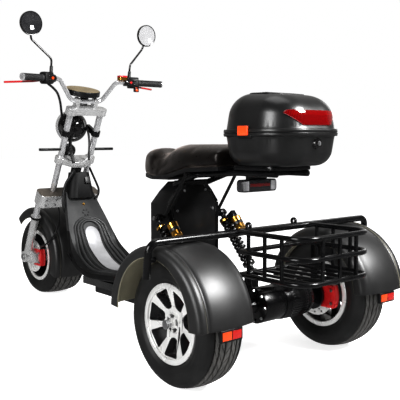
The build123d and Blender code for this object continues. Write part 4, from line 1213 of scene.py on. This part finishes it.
def deck_rib_route(k):
    """The route of a rib or groove, 0 being the one nearest to the tread plate."""
    arch_half, tall, top, flare = 58 + 18 * k, 56 + 9 * k, 172 - 9 * k, 8 + 9 * k
    sides = [top + tall + step for step in range(20, 560, 30)]
    return arched(sides, top, tall,
                  lambda way: arch_half + flare * ramp(way, top + tall, 150) ** 1.3)


def make_deck():
    """The deck with three raised ribs curving round the tread plate, its screws and edges."""
    cut = on_deck(205, 0, 0)
    along = (on_deck(206, 0, 0) - cut).normalized()

    def region(place, normal):
        """Black underneath, and painted black along the sides below the shield as painted shade."""
        side = abs(place.y) > DECK_HALF_W * MM and (place - cut).dot(along) > 0
        return 1 if side or (normal.z < 0.2 and normal.x > -0.5) else 0

    region_dressed("foot_deck", region, ("matte_black",), 0.004,
                   split=((rear(0, DECK_HALF_W, 0), Y), (rear(0, -DECK_HALF_W, 0), Y),
                          (cut, along)))
    ribs, grooves = [], []
    for route in (deck_rib_route(k) for k in range(3)):
        ribs.append(tube("deck_rib", [on_deck(way, y, 0.0) for way, y in route], RIB_THICK,
                         sides=12))
        # black tubes laid along the grooves between the ribs: painted shade in the grooves
        grooves.append(tube("deck_groove", [on_deck(way + 4, y * 0.9 - math.copysign(1, y), -1.0)
                                            for way, y in route], GROOVE_THICK))
    added("deck_ribs", joined("deck_ribs", ribs), "deck_grey", "chassis", angle=60)
    added("deck_grooves", joined("deck_grooves", grooves), "black_plastic", "chassis",
          FINISH["matte_black"], 60)
    # black discs where a ring of holes is: painted shade in the holes
    ring = [(on_deck(RING_AT + RING_R * math.sin(turn), RING_R * math.cos(turn), 0),
             outward(RING_AT)) for turn in (math.radians(60 * k) for k in range(6))]
    screws("deck_ring_holes", ring, "chassis", "black_plastic", 12, 0.005, 0.0012)
    screws("deck_bolt", [(on_deck(way, 0, 0), outward(way)) for way in (78, 38)], "chassis",
           "gold_anodised", 6, 0.007, 0.004)
    edges = [tube("deck_edge", [on_deck(way, side * 160, -24) for way in range(330, 820, 35)],
                  0.0045) for side in (1, -1)]
    added("deck_edges", joined("deck_edges", edges), "black_steel", "chassis", angle=60)


def make_tread_plate():
    """The bright plate down the deck's middle, in a dark gasket."""
    dressed("tread_plate", 0.001, FINISH["tread_plate"], 30, ending="_dressed")
    route = arched(range(216, 560, 24), PLATE_TOP, PLATE_HALF_W, lambda way: PLATE_HALF_W)
    gasket = tube("gasket", [on_deck(way, y, 0) for way, y in route], 0.0026)
    added("tread_plate_gasket", gasket, "black_plastic", "chassis", angle=60)


make_deck()
make_tread_plate()


# ------------------------------------------------------------------ steering head
BOOT_LOW, BOOT_TOP, SLIDER_FROM = 0.244, 0.264, 0.262


def make_fork():
    """The fork: cast lowers, black boots, bright sliders and a bridge whose top is painted
    brown-grey as painted shade.
    """
    def leg(place, normal):
        """Boots black, sliders chrome, the rest cast."""
        off = place - FRONT_AXLE
        up, radial = off.dot(FORK_UP), math.hypot(off.dot(FORK_AHEAD), abs(place.y) - 0.156)
        if BOOT_LOW < up < BOOT_TOP and radial > 0.015:
            return 1
        return 2 if up > SLIDER_FROM else 0

    region_dressed("fork_legs", leg, ("black_plastic", "chrome"))
    # the bridge's upward faces painted darker brown-grey: painted shade
    region_dressed("fork_bridge", lambda place, normal: 1 if normal.dot(FORK_UP) > 0.6 else 0,
                   ("bridge_top",), 0.004)
    bolts = [(fork(-60, side * y, up), -FORK_AHEAD)
             for side in (1, -1) for up in (365, 398) for y in (150, 95)]
    screws("bridge_bolts", bolts, "steering", "stainless", 6, 0.006, 0.005)


def make_headlamp():
    """The headlamp: chrome rim, glass in front and a black shell."""
    centre = fork(80, 0, 760)

    def region(place, normal):
        """Glass in front, chrome at the rim, black behind."""
        off = place - centre
        if off.x > 0.051 and math.hypot(off.y, off.z) < 0.0745:
            return 1
        return 2 if off.x > 0.024 else 0

    piece = region_dressed("headlamp", region, ("lamp_lens", "chrome"), 0.001)
    piece.data.materials[0] = FINISH["shell_black"]


def pressed_ring(radius, place, way):
    """A low raised ring."""
    section = [(radius - 0.002, 0), (radius - 0.001, 0.0015), (radius + 0.001, 0.0015),
               (radius + 0.002, 0)]
    return lathe("pressed_ring", section, place, way, 48)


def make_horn():
    """The horn: a disc with pressed rings on both faces and a bright nut."""
    dressed("horn", 0.002)
    back = fork(40, 22, 628)
    front = back + FORK_AHEAD * 0.020
    rings = [pressed_ring(0.034, front, FORK_AHEAD), pressed_ring(0.024, front, FORK_AHEAD),
             pressed_ring(0.032, back, -FORK_AHEAD)]
    added("horn_rings", joined("horn_rings", rings), "black_plastic", "steering")
    screws("horn_nut", [(back, -FORK_AHEAD)], "steering", "stainless", 6, 0.009, 0.006)


def make_dash_pad():
    """The round dash: a tan top and black sides."""
    tilt = math.radians(15)
    up = Vector((-math.sin(tilt), 0, math.cos(tilt)))
    region_dressed("dash_pad", lambda place, normal: 1 if normal.dot(up) > 0.8 else 0,
                   ("dash_tan",), 0.001)


make_fork()
make_headlamp()
make_horn()
make_dash_pad()


# ------------------------------------------------------------------ handlebar's ends
BAR_HIGH, GRIP_END = (1266, 165, 1160), (1189, 401, 1153)
GRIP_LONG, POD_GAP, POD_HALF = 0.128, 0.004, 0.026
BLADE_ENDS = (0.25, 0.35)
MIRROR_GLASS_R = 0.0535


def bar_side(point, side):
    """A point of the left side, or its like on the right."""
    x, y, z = point
    return rear(x, y * side, z)


def grip_line(side):
    """The end of a grip and the direction that it points out in."""
    end = bar_side(GRIP_END, side)
    return end, (end - bar_side(BAR_HIGH, side)).normalized()


def make_grips():
    """The grips: ribbed rubber sleeves with a bright cap at each end."""
    profile = [(0.0112, 0.0), (0.017, 0.0), (0.017, 0.006)]
    for start in (0.008 + k * 0.005 for k in range(22)):
        profile += [(0.0153, start), (0.0153, start + 0.0016), (0.0168, start + 0.0026),
                    (0.0168, start + 0.0042)]
    profile += [(0.017, 0.120), (0.017, 0.127), (0.0112, 0.127)]
    cap = [(0.0112, 0.0), (0.0165, 0.0), (0.0165, 0.004), (0.013, 0.0068), (0.0, 0.0068)]
    lines = [grip_line(side) for side in (1, -1)]
    made_anew("grips", joined("grips", [lathe("grip", profile, end - run * GRIP_LONG, run, 40)
                                        for end, run in lines]), 50)
    caps = [lathe("cap", cap, end - run * 0.001, run, 32) for end, run in lines]
    added("grip_caps", joined("grip_caps", caps), "chrome", "steering")


def make_pods():
    """The switch pods, with their switches, a button each and the right side's red switches."""
    dressed("switch_pods", 0.003)
    for name, side in SIDES:
        end, run = grip_line(side)
        back = (-X + run * X.dot(run)).normalized()
        up = run.cross(back).normalized()
        up = up if up.z > 0 else -up
        face = end - run * (GRIP_LONG + POD_GAP + POD_HALF)
        turned = axes(up.cross(back), up, back)
        switches = [rounded_box(kind, size, at(face + back * 0.0235 + up * high) @ turned)
                    for kind, size, high in (("rocker", (0.020, 0.008, 0.006), 0.008),
                                             ("slide", (0.014, 0.007, 0.007), -0.011))]
        added(name + "_switches", joined(name + "_switches", switches), "black_plastic",
              "steering")
        button = lathe(name + "_button", [(0.0, 0.006), (0.0055, 0.006), (0.0065, 0.005),
                                          (0.0065, 0)],
                       face + back * 0.0222 - run * 0.016 - up * 0.001, back, 24)
        added(name + "_button", button, "orange_plastic" if side > 0 else "red_paint",
              "steering")
    end, run = grip_line(-1)
    spot = end - run * 0.146 - Z * 0.030 - X * 0.010
    block = rounded_box("block", (0.014, 0.028, 0.036), at(spot), 0.003)
    added("right_switch_block", block, "black_plastic", "steering")
    squares = [rounded_box("square", (0.002, 0.014, 0.011), at(spot - X * 0.0075 + Z * high),
                           0.001) for high in (0.008, -0.008)]
    added("right_red_switches", joined("squares", squares), "orange_plastic", "steering")


def make_levers():
    """The brake levers: black clamps, dark red blades with bright tips, a red reservoir lid."""
    def blade(place, normal):
        """0 for the tip, 1 for the blade and 2 for the clamp."""
        return 2 - sum(abs(place.y) > end for end in BLADE_ENDS)

    region_dressed("brake_levers", blade, ("lever_red", "shell_black"),
                   split=[(Y * side * end, Y) for side in (1, -1) for end in BLADE_ENDS])
    lid = max(vertex.co.z for vertex in frame["nodes"]["brake_reservoir"].data.vertices) - 0.009
    region_dressed("brake_reservoir", lambda place, normal: 1 if place.z > lid else 0,
                   ("red_paint",), 0.002, split=((Z * lid, Z),))


def make_mirrors():
    """The mirrors: black shells on black stems, a glass at the rider's side, and their boots."""
    piece = linked("mirrors_dressed", solid_copy("mirrors"), slot_of("mirrors"),
                   FINISH["shell_black"])
    with worked(piece.data) as work:
        for face in [f for f in work.faces if f.normal.x < -0.9 and f.calc_area() > 0.006]:
            bmesh.ops.inset_region(work, faces=[face], thickness=0.004, depth=0)
            bmesh.ops.inset_region(work, faces=[face], thickness=0.0008, depth=-0.001)

    def choose(face):
        """The glass: painted dark on the left as a painted reflection of the dark side of the room,
        pale grey on the right as a partly painted reflection of the bright side.
        """
        side = 1 if face.center.y > 0 else -1
        off = face.center - rear(1219, 333 * side, 1408)
        if face.normal.x < -0.9 and math.hypot(off.y, off.z) < MIRROR_GLASS_R and abs(off.x) < 0.01:
            return 1 if side > 0 else 2
        return 0

    # left glass painted dark and right glass painted pale grey: painted reflections
    painted(piece, choose, ("shaded_glass", "mirror_glass"))
    shade(piece.data)
    replacing(piece, "mirrors")
    boots = []
    for side in (1, -1):
        foot, up = bar_side((1239, 227, 1176), side), bar_side((1228, 228, 1249), side)
        boots.append(lathe("boot", [(0.0052, 0.042), (0.008, 0.038), (0.0085, 0.012),
                                    (0.011, 0.008), (0.011, 0.0)], foot, up - foot, 24))
    added("mirror_boots", joined("mirror_boots", boots), "black_plastic", "steering")


make_grips()
make_pods()
make_levers()
make_mirrors()


# ------------------------------------------------------------------ shocks
SHOCK_TOP, SHOCK_LOW, SHOCK_Y = (443, 533), (240, 293), 173
SHOCK_RUN = (rear(SHOCK_LOW[0], 0, SHOCK_LOW[1])
             - rear(SHOCK_TOP[0], 0, SHOCK_TOP[1])).normalized()
SHOCK_BEHIND = SHOCK_RUN.cross(Y)
COIL_TURNS, COIL_STEPS, COIL_TOP, COIL_LONG = 10, 14, 57, 200
COIL_R, COIL_WIRE = 0.0198, 0.0064
CAN = ((0.0, 0), (0.0205, 0), (0.022, 0.0015), (0.022, 0.012), (0.0212, 0.013), (0.0212, 0.046),
       (0.022, 0.047), (0.022, 0.0605), (0.0205, 0.062), (0.0, 0.062))
CAN_BAND = ((0.0213, 0.0235), (0.0217, 0.024), (0.0217, 0.038), (0.0213, 0.0385))
CAN_CAP = ((0.0, -0.004), (0.017, -0.004), (0.019, -0.002), (0.0195, 0.0))


def shock_place(side, down, out=0.0):
    """A place on a shock's line, a way down from its upper eye, or out behind it."""
    return (rear(SHOCK_TOP[0], side * SHOCK_Y, SHOCK_TOP[1]) + SHOCK_RUN * down * MM
            - SHOCK_BEHIND * out * MM)


def coil(side):
    """A coil spring's turns."""
    points = []
    for k in range(COIL_TURNS * COIL_STEPS + 1):
        turn = 2 * math.pi * k / COIL_STEPS
        spot = shock_place(side, COIL_TOP + COIL_LONG * k / (COIL_TURNS * COIL_STEPS))
        points.append(spot + (Y * math.cos(turn) + SHOCK_BEHIND * math.sin(turn)) * COIL_R)
    return tube("coil", points, COIL_WIRE, smooth=False, sides=12)


def make_shocks():
    """The shocks' bodies with gold collars, coil springs and gold reservoirs."""
    def region(place, normal):
        """Gold on the upper collar."""
        side = 1 if place.y > 0 else -1
        down = (place - shock_place(side, 0)).dot(SHOCK_RUN) / MM
        off = (place - shock_place(side, down)).length / MM
        return 1 if 43.5 < down < 53 and off > 22 else 0

    region_dressed("shocks", region, ("gold_anodised",), 0.0012,
                   split=((shock_place(1, 44), SHOCK_RUN),))
    made_anew("springs", joined("springs", [coil(side) for side in (1, -1)]), 60)
    cans, caps, bands, bolts = [], [], [], []
    for side in (1, -1):
        start = shock_place(side, 70, 58)
        cans.append(lathe("can", CAN, start, SHOCK_RUN, 48))
        bands.append(lathe("band", CAN_BAND, start, SHOCK_RUN, 48))
        caps.append(lathe("cap", CAN_CAP, start, SHOCK_RUN, 40))
        neck = (shock_place(side, 62) + shock_place(side, 62, 58)) / 2
        caps.append(rounded_box("neck", (0.020, 0.050, 0.018), facing(neck, SHOCK_RUN), 0.003))
        for (x, up), out in ((SHOCK_TOP, 18), (SHOCK_LOW, 13)):
            bolts.append((rear(x, side * (SHOCK_Y + out), up), Y * side))
    made_anew("reservoirs", joined("reservoirs", cans), 40)
    added("reservoir_bands", joined("reservoir_bands", bands), "satin_body", "chassis")
    added("reservoir_caps", joined("reservoir_caps", caps), "black_plastic", "chassis")
    screws("shock_bolts", bolts, "chassis", "stainless", 6, 0.010, 0.006)
    box_bolts = [(rear(418, y, up), -X) for y, up in ((96, 560), (-96, 560), (96, 300),
                                                      (-96, 300), (56, 642), (-56, 642))]
    screws("box_bolts", box_bolts, "chassis", "stainless", 12, 0.006, 0.004)


make_shocks()


# ------------------------------------------------------------------ lamps and reflectors
TAIL_FACE_X, REFLECTOR_X, REFLECTOR_Y = 26 - 0.3, -258 - 7.4, 410
REFLECTOR_UP = 243 + 262 * math.sin(math.radians(177)) - 0.3 - 20


def make_tail_lamp():
    """The tail lamp: a smoky prismatic lens with a red strip across its middle."""
    dressed("tail_lamp", 0.004, FINISH["smoky_lens"], 30, 3, "_dressed")
    strip = rounded_box("tail_lamp_strip", (0.0012, 0.104, 0.011), at(rear(TAIL_FACE_X, 0, 681)),
                        0.0005, 1)
    added("tail_lamp_strip", strip, "red_lens", "chassis")
    for name, first in (("left", 84), ("right", -60)):
        prism = rounded_box("prism", (0.0012, 0.0026, 0.036), at(rear(TAIL_FACE_X, first, 679)),
                            0.0005, 1)
        row = grown("prisms", prism, IN_A_ROW, Copies=5, Step=(0, -0.006, 0),
                    Finish=FINISH["lamp_lens"])
        added(name + "_lamp_prisms", row, "lamp_lens", "chassis")


def make_reflectors():
    """The reflectors: black trays, each with an orange half and a red half."""
    dressed("reflectors", 0.0015, FINISH["black_plastic"])
    for colour, shift, glass in (("orange", 21, "orange_lens"), ("red", -21, "reflector_red")):
        halves = [rounded_box("half", (0.0024, 0.039, 0.028),
                              at(rear(REFLECTOR_X, side * REFLECTOR_Y + shift, REFLECTOR_UP)),
                              0.0008) for side in (1, -1)]
        added(colour + "_reflectors", joined(colour, halves), "red_lens", "chassis",
              FINISH[glass])


make_tail_lamp()
make_reflectors()


# ------------------------------------------------------------------ motor and calipers
def make_motor():
    """The motor with rings and cooling fins round it, and the axle housing's bolts."""
    dressed("drive_motor", 0.002)
    centre = REAR_AXLE - Y * 0.130
    section = [(0.0695, -0.0015), (0.0715, -0.001), (0.0715, 0.001), (0.0695, 0.0015)]
    rings = [lathe("ring", section, centre + Y * shift, Y, 72)
             for shift in (-0.058, -0.05, 0.05, 0.058)]
    added("motor_rings", joined("motor_rings", rings), "black_steel", "chassis")
    fin = rounded_box("fin", (0.003, 0.086, 0.004), at((0.0705, 0, 0)), 0.0008)
    fins = round_axle("motor_fins", fin, 40, centre, "black_steel")
    added("motor_fins", fins, "black_steel", "chassis")
    bolts = [(REAR_AXLE + Y * 0.055 + (X * math.cos(turn) + Z * math.sin(turn)) * 0.058, Y)
             for turn in (2 * math.pi * k / 8 for k in range(8))]
    screws("housing_bolts", bolts, "chassis", "stainless", 6, 0.006, 0.005)


def make_calipers():
    """The red calipers, each with four bolts."""
    for node, axle, middles, body in (("rear_calipers", REAR_AXLE, (0.291, -0.291), "chassis"),
                                      ("front_caliper", FRONT_AXLE, (0.115,), "steering")):
        dressed(node, 0.004, angle=25)
        bolts = [(axle + Vector((-0.097, middle + face * 0.015, up)), Y * face)
                 for middle in middles for up in (0.026, -0.026) for face in (1, -1)]
        screws(node + "_bolts", bolts, body, "stainless", 6, 0.0065, 0.005)


make_motor()
make_calipers()


# ------------------------------------------------------------------ everything else
dressed("neck_cowl", 0.003, FINISH["matte_black"])
for cad_node in sorted(set(frame["nodes"]) - done):
    dressed(cad_node)
